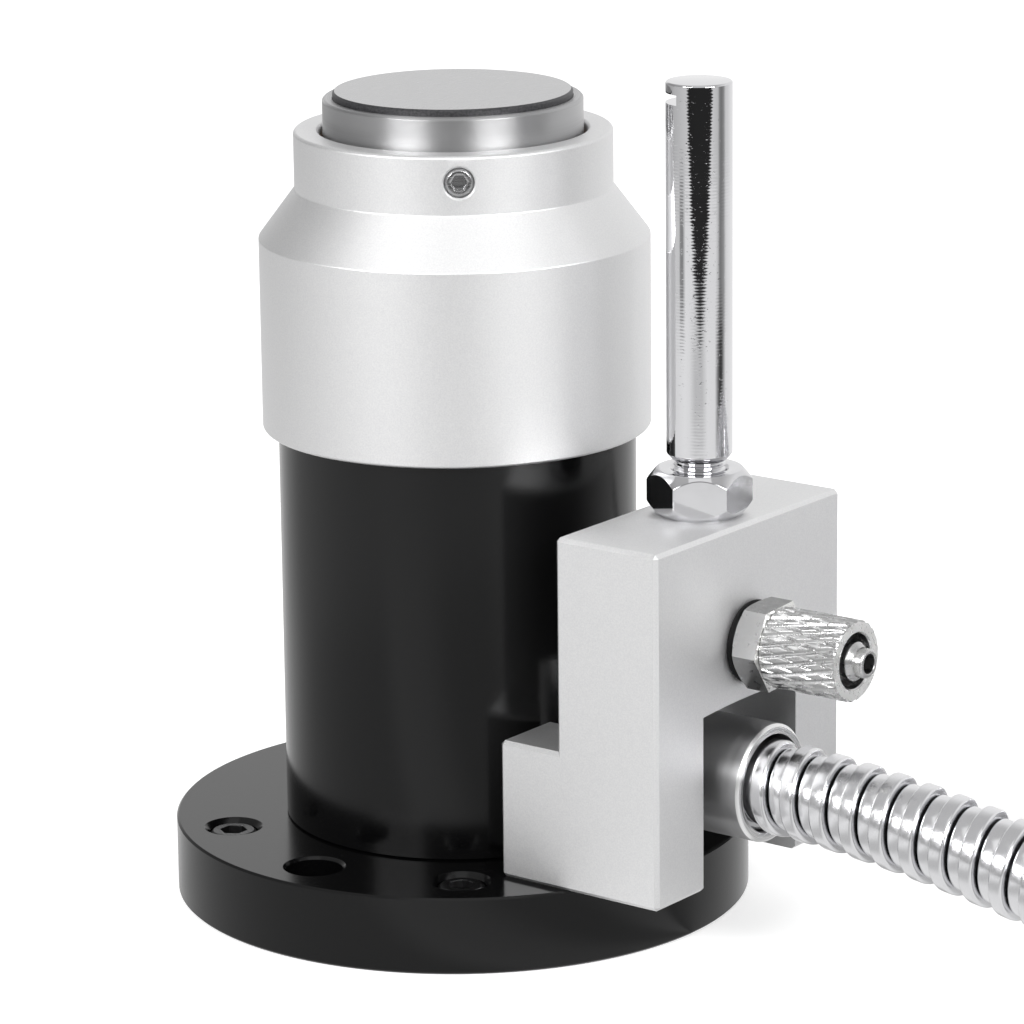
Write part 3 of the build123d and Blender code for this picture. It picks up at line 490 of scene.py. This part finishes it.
def hexagon_bar(flats, low, high):
    """A hexagon bar with two of its corners on Y."""
    form = bmesh.new()
    corner = flats / math.sqrt(3)
    bmesh.ops.create_cone(
        form, segments=6, radius1=corner, radius2=corner, depth=high - low, cap_ends=True,
    )
    return moved(form, 0, 0, (low + high) / 2)


def together(forms):
    """Several forms as one."""
    whole = bmesh.new()
    for form in forms:
        part = bpy.data.meshes.new("part")
        form.to_mesh(part)
        form.free()
        whole.from_mesh(part)
        bpy.data.meshes.remove(part)
    return whole


def carved(form, tool, operation="DIFFERENCE"):
    """The form with a tool's shape cut out of it, or only what both share."""
    objects = []
    for each in (form, tool):
        shape = bpy.data.meshes.new("blank")
        each.to_mesh(shape)
        each.free()
        objects.append(bpy.data.objects.new("blank", shape))
        bpy.context.scene.collection.objects.link(objects[-1])
    body, cutter = objects
    cut = body.modifiers.new("cut", "BOOLEAN")
    cut.operation = operation
    cut.solver = "EXACT"
    cut.object = cutter
    made = bpy.data.meshes.new_from_object(body.evaluated_get(bpy.context.evaluated_depsgraph_get()))
    result = bmesh.new()
    result.from_mesh(made)
    for each in objects:
        bpy.data.objects.remove(each)
    bpy.data.meshes.remove(made)
    bmesh.ops.remove_doubles(result, verts=result.verts, dist=1e-4)
    return result


def belongs(piece, body, slot, *replaced):
    """Says what the piece rides on and the nodes it stands for; the slot, a finish's name, is not used."""
    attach(piece, body)
    if replaced:
        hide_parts(*replaced)
    return piece


# Cable

armour_radius = 4.75
armour_pitch = 3.5
armour_turns_seen = 35
armour_start_angle = 79.0
near_steps, far_steps = 64, 22
coil_centre = (118.0, 59.0)
coil_low, coil_high = 4.75, 14.25
coil_outside, coil_inside = 59.0, 49.0
coil_turns = 3.5

conduit_route = [
    (30.0, 0.0, 17.6), (42.0, 0.0, 17.6), (56.0, 0.0, 16.4), (72.0, 0.0, 13.8),
    (88.0, 0.0, 8.6), (104.0, 0.0, 4.75), (118.0, 0.0, 4.75),
]
way_out = [(118.0, 118.0, 14.25), (97.0, 118.0, 14.25), (77.0, 118.0, 13.35)]
tail_route = [
    (77.0, 118.0, 13.35), (67.0, 118.0, 12.9), (56.0, 117.6, 9.6),
    (44.5, 116.2, 4.3), (33.5, 113.6, 2.25), (24.0, 110.0, 2.25),
]


def coil_route():
    """Wound turns: one outside, one inside it, and the rest on top, out at the far side."""
    turn_steps = 16
    widen = 1 / math.cos(math.pi / turn_steps)
    route = []
    for i in range(1, int(coil_turns * turn_steps)):
        angle = 360.0 * i / turn_steps
        inward = min(max((angle - 270) / 90, 0), 1) - min(max((angle - 900) / 90, 0), 1)
        climb = min(max((angle - 590) / 115, 0), 1)
        inset = (coil_outside - coil_inside) * (3 * inward**2 - 2 * inward**3)
        radius = (coil_outside - inset) * widen
        place = math.radians(angle - 90)
        route.append((
            coil_centre[0] + radius * math.cos(place),
            coil_centre[1] + radius * math.sin(place),
            coil_low + (coil_high - coil_low) * (3 * climb**2 - 2 * climb**3),
        ))
    return route


def route_line(name, points):
    """A smooth line through a route's points, which are in millimetres."""
    data = bpy.data.curves.new(name, "CURVE")
    data.dimensions = "3D"
    line = data.splines.new("NURBS")
    line.points.add(len(points) - 1)
    for point, place in zip(line.points, points):
        point.co = (place[0] * mm, place[1] * mm, place[2] * mm, 1.0)
    line.order_u = 3
    line.use_endpoint_u = True
    line.resolution_u = 12
    data.resolution_u = 12
    curve = bpy.data.objects.new(name, data)
    bpy.context.scene.collection.objects.link(curve)
    return curve


def line_points(curve):
    """The points of a curve that has no bevel, in metres and in order."""
    made = bpy.data.meshes.new_from_object(curve.evaluated_get(bpy.context.evaluated_depsgraph_get()))
    points = [v.co.copy() for v in made.vertices]
    bpy.data.meshes.remove(made)
    return points


def frames_along(points):
    """Lengths so far, and at each point a side and an up that don't twist."""
    lengths = [0.0]
    for a, b in zip(points, points[1:]):
        lengths.append(lengths[-1] + (b - a).length)
    frames = []
    up = Vector((0, 0, 1))
    for i in range(len(points)):
        ahead = (points[min(i + 1, len(points) - 1)] - points[max(i - 1, 0)]).normalized()
        up = (up - ahead * up.dot(ahead)).normalized()
        frames.append((up.cross(ahead), up))
    return lengths, frames


def follow(form, points):
    """Bends a form that stands on Z along a line, its height becoming the way along it."""
    lengths, frames = frames_along(points)
    for vert in form.verts:
        i = min(max(bisect.bisect_right(lengths, vert.co.z) - 1, 0), len(points) - 2)
        part = (vert.co.z - lengths[i]) / (lengths[i + 1] - lengths[i])
        side = frames[i][0].lerp(frames[i + 1][0], part).normalized()
        up = frames[i][1].lerp(frames[i + 1][1], part).normalized()
        middle = points[i].lerp(points[i + 1], part)
        vert.co = middle + side * vert.co.x + up * vert.co.y


def wound_strip(profile, pitch, turns, steps, start):
    """A strip wound into a hose: its section, as (share of the pitch, radius), spun as a screw."""
    form = bmesh.new()
    verts = [form.verts.new((-radius, 0.0, start + along * pitch)) for along, radius in profile]
    edges = [form.edges.new(pair) for pair in zip(verts, verts[1:])]
    bmesh.ops.spin(
        form, geom=verts + edges, cent=(0, 0, 0), axis=(0, 0, 1), dvec=(0, 0, pitch / steps),
        angle=math.tau, steps=steps, use_merge=False, use_duplicate=False,
    )
    one_turn = bpy.data.meshes.new("one_turn")
    form.to_mesh(one_turn)
    form.free()
    hose = bpy.data.objects.new("hose", one_turn)
    bpy.context.scene.collection.objects.link(hose)
    repeat = hose.modifiers.new("turns", "ARRAY")
    repeat.count = turns
    repeat.use_relative_offset = False
    repeat.use_constant_offset = True
    repeat.constant_offset_displace = (0, 0, pitch)
    repeat.use_merge_vertices = True
    repeat.merge_threshold = 1e-3
    made = bpy.data.meshes.new_from_object(hose.evaluated_get(bpy.context.evaluated_depsgraph_get()))
    bpy.data.objects.remove(hose)
    form = bmesh.new()
    form.from_mesh(made)
    bpy.data.meshes.remove(made)
    bmesh.ops.remove_doubles(form, verts=form.verts, dist=1e-3)
    bmesh.ops.holes_fill(form, edges=form.edges, sides=0)
    bmesh.ops.recalc_face_normals(form, faces=form.faces)
    return form


def make_armour():
    """Interlocked steel strip: raised crowns, lower bands between them, and a lock each side, its depth
    painted dark as shade.
    """
    line = route_line("armour_line", conduit_route + coil_route()[:-1] + way_out)
    points = line_points(line)
    bpy.data.objects.remove(line)
    length = sum((b - a).length for a, b in zip(points, points[1:])) / mm
    crown, band, lock = armour_radius, armour_radius - 0.62, armour_radius - 1.0
    near = [
        (0.0, lock), (0.004, crown - 0.34), (0.02, crown - 0.16), (0.045, crown - 0.05), (0.085, crown),
        (0.38, crown), (0.43, crown - 0.05), (0.46, crown - 0.15), (0.475, crown - 0.35), (0.485, lock),
        (0.555, lock), (0.565, band - 0.12), (0.59, band - 0.02), (0.63, band), (0.93, band),
        (0.955, band - 0.04), (0.96, lock), (1.0, lock),
    ]
    far = [
        (0.0, lock), (0.02, crown - 0.12), (0.08, crown), (0.46, crown), (0.52, band - 0.1),
        (0.95, band), (1.0, lock),
    ]
    near_turns = armour_turns_seen - 1
    far_turns = round(length / armour_pitch) - armour_turns_seen
    far_pitch = (length - armour_turns_seen * armour_pitch) / far_turns
    form = together([
        wound_strip(near, armour_pitch, near_turns, near_steps, 0.0),
        wound_strip(far, far_pitch, far_turns, far_steps, near_turns * armour_pitch),
    ])
    # How deep each point lies in the lock, which the strip's material turns into painted shade
    depth = form.verts.layers.float.new("lock_shade_depth")
    moved(form, turn=armour_start_angle)
    for vert in form.verts:
        radius = math.hypot(vert.co.x, vert.co.y)
        vert[depth] = min(max((crown - radius) / (crown - lock), 0.0), 1.0)
        vert.co *= mm
    follow(form, points)
    for vert in form.verts:
        vert.co /= mm
    piece = finished("armoured_conduit", form, armour_strip(), smooth_angle=50.0)
    belongs(piece, "housing", "armour", "conduit", "conduit_coil", "conduit_end_run")
    return piece, points


def make_sleeve(nickel):
    """The end sleeve, crimped on the armour with two grooves."""
    form = turned([
        (4.8, -8.0), (5.2, -8.0), (5.5, -7.7), (5.5, -6.2), (5.25, -5.9), (5.25, -5.3), (5.5, -5.0),
        (5.5, -3.2), (5.25, -2.9), (5.25, -2.3), (5.5, -2.0), (5.5, 1.0), (4.5, 2.0), (2.3, 2.0),
        (2.3, 0.0), (4.8, 0.0),
    ], 64)
    soften(form, 0.08)
    ahead = (Vector(way_out[-1]) - Vector(way_out[-2])).normalized()
    turn = ahead.to_track_quat("Z", "Y").to_matrix()
    bmesh.ops.rotate(form, verts=form.verts, matrix=turn)
    bmesh.ops.translate(form, verts=form.verts, vec=way_out[-1])
    return belongs(finished("armour_end_sleeve", form, nickel), "housing", "nickel", "conduit_end_sleeve")


def make_tail(jacket):
    """The thin cable out of the sleeve."""
    tail = route_line("signal_cable", tail_route)
    tail.data.bevel_depth = 2.25 * mm
    tail.data.bevel_resolution = 6
    tail.data.use_fill_caps = True
    tail.data.materials.append(jacket)
    return belongs(tail, "housing", "cable_jacket", "signal_cable_tail")


def make_cores(colours):
    """Four insulated cores with stripped and tinned ends, side by side."""
    end = Vector(tail_route[-1])
    heading = (end - Vector(tail_route[-2])).normalized()
    across = heading.cross(Vector((0, 0, 1)))
    spacing = 1.1
    turn = heading.to_track_quat("Z", "Y").to_matrix()
    forms = []
    for i in range(4):
        core = turned([
            (0, -0.5), (0.52, -0.5), (0.52, 7.9), (0.46, 8.0), (0.3, 8.0),
            (0.3, 11.8), (0.2, 12.0), (0, 12.0),
        ], 20, False)
        for face in core.faces:
            face.material_index = 4 if face.calc_center_median().z > 7.95 else i
        bmesh.ops.rotate(core, verts=core.verts, matrix=turn)
        bmesh.ops.translate(core, verts=core.verts, vec=end + across * ((i - 1.5) * spacing))
        forms.append(core)
    piece = finished("signal_cable_cores_stripped", together(forms), *colours)
    return belongs(piece, "housing", "cable_jacket", "signal_cable_cores")


# Base, body and head

mounting_hole_y = 24.5
mounting_hole_radius = 2.9
levelling_places = [(x, y) for x in (-15.0, 15.0) for y in (-19.5, 19.5)]
levelling_top = 7.65
body_screw_circle = 15.95
block_screw_x = 21.5
block_screw_y = 12.025


def make_base(black):
    """The flange, with its mounting holes, screw holes and the shoulder that centres the body."""
    edge, hole_edge = 0.22, 0.3
    form = turned([
        (0, 0), (flange_radius - edge, 0), (flange_radius, edge), (flange_radius, flange_top - edge),
        (flange_radius - edge, flange_top), (13.47, flange_top), (13.47, flange_high.z), (0, flange_high.z),
    ], 224, False)
    inner, outer = mounting_hole_radius, mounting_hole_radius + hole_edge
    holes = [
        moved(turned([
            (0, -1), (inner, -1), (inner, flange_top - hole_edge), (outer, flange_top),
            (outer, 13), (0, 13),
        ], 56, False), 0, y)
        for y in (-mounting_hole_y, mounting_hole_y)
    ]
    for x, y in levelling_places:
        holes.append(moved(turned([
            (0, -1), (2.53, -1), (2.53, 7.45), (3.05, 8.0), (3.2, 9.0), (0, 9.0),
        ], 48, False), x, y))
    for angle in (45, 135, 225, 315):
        x = body_screw_circle * math.cos(math.radians(angle))
        y = body_screw_circle * math.sin(math.radians(angle))
        holes.append(moved(turned([
            (0, -1), (2.93, -1), (2.93, 0), (1.55, 1.38), (1.55, 9), (0, 9),
        ], 40, False), x, y))
    for y in (-block_screw_y, block_screw_y):
        holes.append(moved(turned([
            (0, -1), (2.9, -1), (2.9, 3.3), (1.53, 3.3), (1.53, 9), (0, 9),
        ], 40, False), block_screw_x, y))
    form = soften(carved(form, together(holes)), 0.06, 2, 40.0)
    return belongs(finished("base_flange_turned", form, black), "housing", "black_aluminium", "base_flange")


def make_body(black):
    """The black tube, its foot's edge broken, faced flat where the cable socket screws in."""
    edge = 0.2
    form = turned([
        (13.5, flange_top), (tube_radius - edge, flange_top), (tube_radius, flange_top + edge),
        (tube_radius, body_top), (17.5, body_top),
        (17.5, 66), (15, 66), (15, 48), (8.5, 48), (8.5, 50), (4.5, 50), (4.5, 44), (13.5, 44),
    ], 192)
    form = carved(form, together([
        laid_along_x(rod(6.15, 17.2, 30), z=socket_z), laid_along_x(rod(4.03, 10, 17.3), z=socket_z),
    ]))
    return belongs(finished("body_tube_turned", form, black), "housing", "black_aluminium", "body_tube")


def make_cap(silver):
    """The head: a skirt, a cone and a neck with the hole of its set screw."""
    edge = 0.22
    hem = body_top + 0.23
    form = turned([
        (17.53, body_top), (tube_radius - 0.3, body_top), (tube_radius - 0.3, hem), (cap_radius - edge, hem),
        (cap_radius, hem + edge), (cap_radius, 69.2), (16.25, 74.2), (16.25, 79.95), (16, 80.2),
        (13.9, 80.2), (13.65, 79.95), (13.65, 79), (14.5, 79), (14.5, 70), (17.53, 70),
    ], 224)
    soften(form, 0.10, 2, 20.0)
    hole = turned([(0, 13), (1.53, 13), (1.53, 16.05), (1.75, 16.25), (2.3, 17.3), (0, 17.3)], 48, False)
    hole = moved(laid_along_x(hole, z=neck_screw_z), turn=neck_screw_heading)
    form = carved(form, hole)
    return belongs(finished("head_cap_blasted", form, silver), "housing", "silver_aluminium", "head_cap")


def make_collar(steel):
    """The turned collar that holds the disc and slides in the bush."""
    form = turned([
        (2.53, 79), (11.75, 79), (11.75, 63.5), (14.6, 63.5), (14.6, 66), (13.25, 66), (13.25, 83.2),
        (13.05, 83.4), (12.23, 83.4), (12.23, 82.1), (2.53, 82.1),
    ], 224)
    form = soften(carved(form, moved(rod(1.05, 62, 70), 0, 13.7)), 0.06, 2, 40.0)
    piece = finished("contact_collar_turned", form, steel)
    return belongs(piece, "plunger", "turned_steel", "contact_collar")


def make_disc(face, side):
    """The contact: a lapped carbide disc with a dark rim."""
    radius, top = disc_high.x, disc_high.z
    form = turned([
        (0, disc_low.z), (radius, disc_low.z), (radius, top - 0.2), (radius - 0.2, top), (0, top),
    ], 224, False)
    for f in form.faces:
        f.material_index = 0 if f.calc_center_median().z > top - 0.05 else 1
    return belongs(finished("contact_disc_lapped", form, face, side), "plunger", "carbide", "contact_disc")


spring_wire = 1.3
spring_turns = 7


def make_return_spring(wire_steel):
    """The wound spring round the stem; in the tool it shortens onto its foot as the contact goes down."""
    wire_radius = spring_wire / 2
    length = spring_high.z - spring_low.z
    steps = 48 * spring_turns
    form = bmesh.new()
    bmesh.ops.create_circle(form, segments=16, radius=wire_radius)
    bmesh.ops.rotate(form, verts=form.verts, matrix=Matrix.Rotation(math.radians(90), 3, "X"))
    moved(form, spring_high.x - wire_radius, 0.0, spring_low.z + wire_radius)
    bmesh.ops.spin(
        form, geom=form.verts[:] + form.edges[:], cent=(0, 0, 0), axis=(0, 0, 1),
        dvec=(0, 0, (length - spring_wire) / steps), angle=math.tau * spring_turns, steps=steps,
        use_merge=False, use_duplicate=False,
    )
    bmesh.ops.holes_fill(form, edges=form.edges, sides=0)
    bmesh.ops.recalc_face_normals(form, faces=form.faces)
    piece = finished("return_spring_wound", form, wire_steel)
    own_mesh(piece)
    return belongs(piece, "housing", "spring_steel", "return_spring")


def set_screw(flats, radius, length, edge, socket):
    """A headless screw, its socket end up at zero height."""
    form = turned([
        (0, -length), (radius - 2 * edge, -length), (radius, -length + 2 * edge), (radius, -edge),
        (radius - edge, 0), (0, 0),
    ], 48, False)
    return soften(carved(form, hexagon_bar(flats, -socket, 0.5)), 0.04, 2, 35.0)


def make_neck_screw(bright):
    """The small bright screw that locks the bush in the neck."""
    socket_end = 16.15
    form = set_screw(flats=1.5, radius=1.5, length=1.5, edge=0.28, socket=0.9)
    moved(laid_along_x(form, socket_end, neck_screw_z), turn=neck_screw_heading)
    return belongs(finished("neck_set_screw_cut", form, bright), "housing", "bright_steel", "neck_set_screw")


def make_levelling_screws(black):
    """Four black set screws in the flange, just below its face."""
    forms = []
    for i, (x, y) in enumerate(levelling_places):
        screw = set_screw(flats=2.5, radius=2.5, length=7.3, edge=0.4, socket=2.4)
        forms.append(moved(screw, x, y, levelling_top, turn=17.0 * i))
    piece = finished("levelling_screws_cut", together(forms), black)
    return belongs(piece, "housing", "black_steel", "levelling_screws")


def make_socket(dark, bright):
    """The dark socket of the cable, its faced end painted brighter, a painted highlight."""
    radius, end, edge = socket_high.y, socket_high.x, 0.28
    form = turned([
        (2.2, 13.8), (4, 13.8), (4, 17.2), (radius, 17.2), (radius, end - edge), (radius - edge, end),
        (5.05, end), (5.05, 30), (2.2, 30),
    ], 160)
    soften(form, 0.06, 2, 30.0)
    # The faced end takes the steel painted lighter, a painted highlight
    for f in form.faces:
        f.material_index = 1 if f.calc_center_median().z > end - edge - 0.02 else 0
    laid_along_x(form, z=socket_z)
    piece = finished("cable_socket_turned", form, dark, bright)
    return belongs(piece, "housing", "dark_steel", "cable_socket")


# Fittings of the air block

def hexagon_nut(flats, low, high, bevel, slope, both_ends=True, collar=0.0):
    """A hexagon whose corners are turned off in arcs at its foot or both ends, at a slope in degrees."""
    corner = flats / math.sqrt(3)
    face, past, collar_inset = corner - bevel, corner + 0.4, 0.2
    rise = (past - face) * math.tan(math.radians(slope))
    upper = [(past, high - rise), (face, high)] if both_ends else [(past, high)]
    blank = turned([
        (0, low), (face - collar_inset, low), (face - collar_inset, low + collar),
        (face, low + collar), (past, low + collar + rise), *upper, (0, high),
    ], 192, False)
    return carved(hexagon_bar(flats, low, high), blank, "INTERSECT")


def make_nozzle(chrome):
    """The chromed tube, sawn across near its closed end, and its thread down into the block."""
    bottom, top, radius = nozzle_low.z, nozzle_high.z, nozzle_radius
    form = turned([
        (1.8, bottom), (2.6, bottom), (2.6, 49.0), (2.28, 49.2), (2.6, 49.4), (2.6, 49.5), (2.3, 49.65),
        (2.3, 49.8), (2.72, 49.95), (radius, 50.65), (radius, top - 0.15), (radius - 0.15, top), (0, top),
        (0, 86.7), (1.8, 86.7),
    ], 160)
    soften(form, 0.07, 2, 30.0)
    saw_width, saw_below_top = 1.0, 1.6
    saw = bmesh.new()
    bmesh.ops.create_cube(saw, size=1.0)
    bmesh.ops.scale(saw, verts=saw.verts, vec=(6.0, 12.0, saw_width))
    bmesh.ops.translate(saw, verts=saw.verts, vec=(-3.4, 0.0, top - saw_below_top))
    form = moved(carved(form, saw), nozzle_x)
    return belongs(finished("air_nozzle_plated", form, chrome), "nozzle", "chrome", "air_nozzle")


def make_lock_nut(chrome):
    """The hexagon nut that locks the nozzle."""
    form = hexagon_nut(9.2, nut_low.z, nut_high.z, bevel=1.0, slope=50.0, collar=0.14)
    form = carved(form, turned([
        (0, nut_low.z - 1), (2.65, nut_low.z - 1), (2.65, nut_high.z - 0.35), (3.0, nut_high.z),
        (3.0, nut_high.z + 1), (0, nut_high.z + 1),
    ], 64, False))
    soften(form, 0.07, 2, 18.0)
    moved(form, nozzle_x, turn=-54.5)
    return belongs(finished("nozzle_lock_nut_plated", form, chrome), "housing", "chrome", "nozzle_lock_nut")


def make_washer(black):
    """The rubber washer pinched under the fitting, its black also painted shade in the gap under the
    hexagon.
    """
    low, high = washer_low.x, washer_high.x
    form = turned([(2.55, low), (4.1, low), (4.25, (low + high) / 2), (4.1, high), (2.55, high)], 96)
    soften(form, 0.1, 3, 25.0)
    return belongs(
        finished("fitting_washer_pinched", laid_along_x(form, z=fitting_z), black),
        "housing", "black_rubber", "fitting_washer",
    )


def make_fitting(nickel, satin, faced):
    """The fitting: shank, satin hexagon, thread and the barbed stem."""
    stem = turned([
        (1.0, 32.4), (2.5, 32.4), (2.5, 37.4), (3.0, 37.4), (3.0, 45.2), (1.7, 45.2), (1.7, 48.4),
        (2.0, 48.7), (2.0, 49.3), (1.5, 49.8), (1.5, 50.6), (1.3, 50.8), (1.0, 50.8),
    ], 96)
    soften(stem, 0.08, 3, 25.0)
    gap = 0.06
    nut = hexagon_nut(8.2, washer_high.x, hose_nut_low.x - gap, bevel=0.6, slope=30.0, both_ends=False)
    soften(nut, 0.06, 2, 20.0)
    moved(nut, turn=3.6)
    # The hexagon's end face takes the nickel painted lighter, a painted highlight; its other faces the satin
    for f in nut.faces:
        f.material_index = 2 if f.normal.z > 0.5 else 1
    form = laid_along_x(together([stem, nut]), z=fitting_z)
    return belongs(
        finished("air_fitting_plated", form, nickel, satin, faced), "housing", "nickel", "fitting_body",
    )


knurl_teeth = 24
knurl_cut = 0.27


def knurl_depth(angle, along):
    """How deep the knurl is at a place: long grooves that lean one way, shorter ones the other."""
    deep = 0.0
    for lean, share, half in ((0.233, 1.0, 0.28), (-0.190, 0.6, 0.16)):
        place = (knurl_teeth * angle / math.tau + along * lean) % 1.0
        groove = max(0.0, 1.0 - abs(place - 0.5) / half)
        deep = max(deep, share * min(groove * 1.2, 1.0))
    return knurl_cut * deep


def make_hose_nut(nickel, faced):
    """The knurled nut that holds the hose, its ends faced flat, its outer end painted lighter as a
    highlight.
    """
    low, high, radius, edge = hose_nut_low.x, hose_nut_high.x, hose_nut_radius, 0.15
    rows = 90
    wall = [(radius, low + edge + (high - low - 2 * edge) * i / rows) for i in range(rows + 1)]
    form = turned(
        [(3.05, low), (radius - edge, low)] + wall
        + [(radius - edge, high), (2.95, high), (2.8, high - 0.15), (2.8, 46.5), (3.05, 46.0)],
        360,
    )
    for vert in form.verts:
        out = math.hypot(vert.co.x, vert.co.y)
        if out > radius - edge - 0.01:
            deep = knurl_depth(math.atan2(vert.co.y, vert.co.x), vert.co.z)
            if out < radius - 0.01:
                deep *= 0.2
            vert.co.x *= (out - deep) / out
            vert.co.y *= (out - deep) / out
    # The outer end face takes the nickel painted lighter, a painted highlight
    for face in form.faces:
        face.material_index = 1 if face.calc_center_median().z > high - 0.01 else 0
    laid_along_x(form, z=fitting_z)
    piece = finished("hose_nut_knurled", form, nickel, faced, smooth_angle=40.0)
    return belongs(piece, "hose_nut", "nickel", "hose_nut")


# Making it

place_camera()
light_the_room()
lay_floor()
softbox("left_softbox", heading=-95, height=26, size=(0.6, 0.26), watts=7.9)
softbox("right_softbox", heading=-15, height=25, size=(0.6, 0.34), watts=7.8)
softbox("top_softbox", heading=-52, height=62, size=(0.7, 0.7), watts=0.7)

silver = blasted_silver()
black = black_anodised()
collar_steel = turned_steel("fine_turned_steel", "#b0b0b1", 0.38, 0.09, 0.85)
dark_steel = turned_steel("dark_turned_steel", "#b2b2b3", 0.36, 0.12, 0.6, True, socket_z)
# Steel for the socket's faced end, painted lighter than the metal: a painted highlight
faced_steel_painted_lighter = turned_steel("faced_steel_painted_lighter", "#ececec", 0.28, 0.1, 0.3, True, socket_z)
bright_steel = turned_steel("bright_screw_steel", "#b9b9ba", 0.24, 0.2)
hardened_steel = turned_steel("ground_hardened_steel", "#9f9fa0", 0.18, 0.05)
black_steel = turned_steel("oiled_black_steel", "#4a4a4b", 0.36, 0.2)
bronze = turned_steel("turned_bronze", "#7d5d38", 0.34, 0.1)
spring_wire_steel = turned_steel("drawn_spring_wire", "#8d8d8f", 0.28, 0.3)
chrome = polished_chrome()
nut_chrome = plated("polished_nut_chrome", "#d6d6d8", 0.07, 1.8, 0.006)
nickel = plated("bright_nickel", "#c4c4c4", 0.28, 0.9, 0.002)
# Nickel for faced ends, painted lighter than the metal: a painted highlight
faced_nickel_painted_lighter = plated("faced_nickel_painted_lighter", "#f4f4f2", 0.34, 0.3, 0.0006)
satin_nickel = plated("satin_nickel", "#9c9c9c", 0.35, 0.6, 0.0003)
black_rubber = moulded("moulded_black_rubber", "#0a0a0b", "#121213", 0.15, 0.62)
board = moulded("green_board_laminate", "#0d3a1c", "#14522a", 0.8, 0.4)
housing_plastic = moulded("moulded_black_plastic", "#161617", "#202022", 0.25, 0.45)
jacket = moulded("black_cable_jacket", "#161617", "#202022", 0.5, 0.5)
core_colours = [
    moulded(f"{name}_core_jacket", dark, light, 0.5, 0.45)
    for name, dark, light in (
        ("brown", "#5a3019", "#6b3a20"), ("black", "#151516", "#1f1f20"),
        ("blue", "#1d3f8c", "#244a9e"), ("white", "#cfcfcb", "#dededb"),
    )
] + [plated("tinned_copper", "#b5b5b6", 0.25, 0.5, 0.01)]

armour, armour_path = make_armour()
sleeve = make_sleeve(nickel)
tail = make_tail(jacket)
cores = make_cores(core_colours)

make_base(black)
make_body(black)
make_cap(silver)
make_collar(collar_steel)
make_disc(lapped_carbide(), sintered_carbide())
make_return_spring(spring_wire_steel)
make_neck_screw(bright_steel)
make_levelling_screws(black_steel)
make_socket(dark_steel, faced_steel_painted_lighter)
make_nozzle(chrome)
make_lock_nut(nut_chrome)
make_washer(black_rubber)
make_fitting(nickel, satin_nickel, faced_nickel_painted_lighter)
make_hose_nut(nickel, faced_nickel_painted_lighter)

finishes = {
    "air_block": silver, "body_screws": black_steel, "block_screws": black_steel,
    "base_sealing_ring": black_rubber, "head_sealing_ring": black_rubber, "guide_bush": bronze,
    "plunger_seal": black_rubber, "plunger_stem": hardened_steel,
    "guide_pin": hardened_steel, "trigger_vane": spring_wire_steel, "vane_screw": bright_steel,
    "slot_sensor": housing_plastic, "circuit_board": board, "board_standoffs": nickel,
    "board_screws": bright_steel, "signal_lead": jacket,
}
for node, finish in finishes.items():
    cad[node].data.materials.clear()
    cad[node].data.materials.append(finish)

bpy.context.scene.view_settings.view_transform = "Standard"
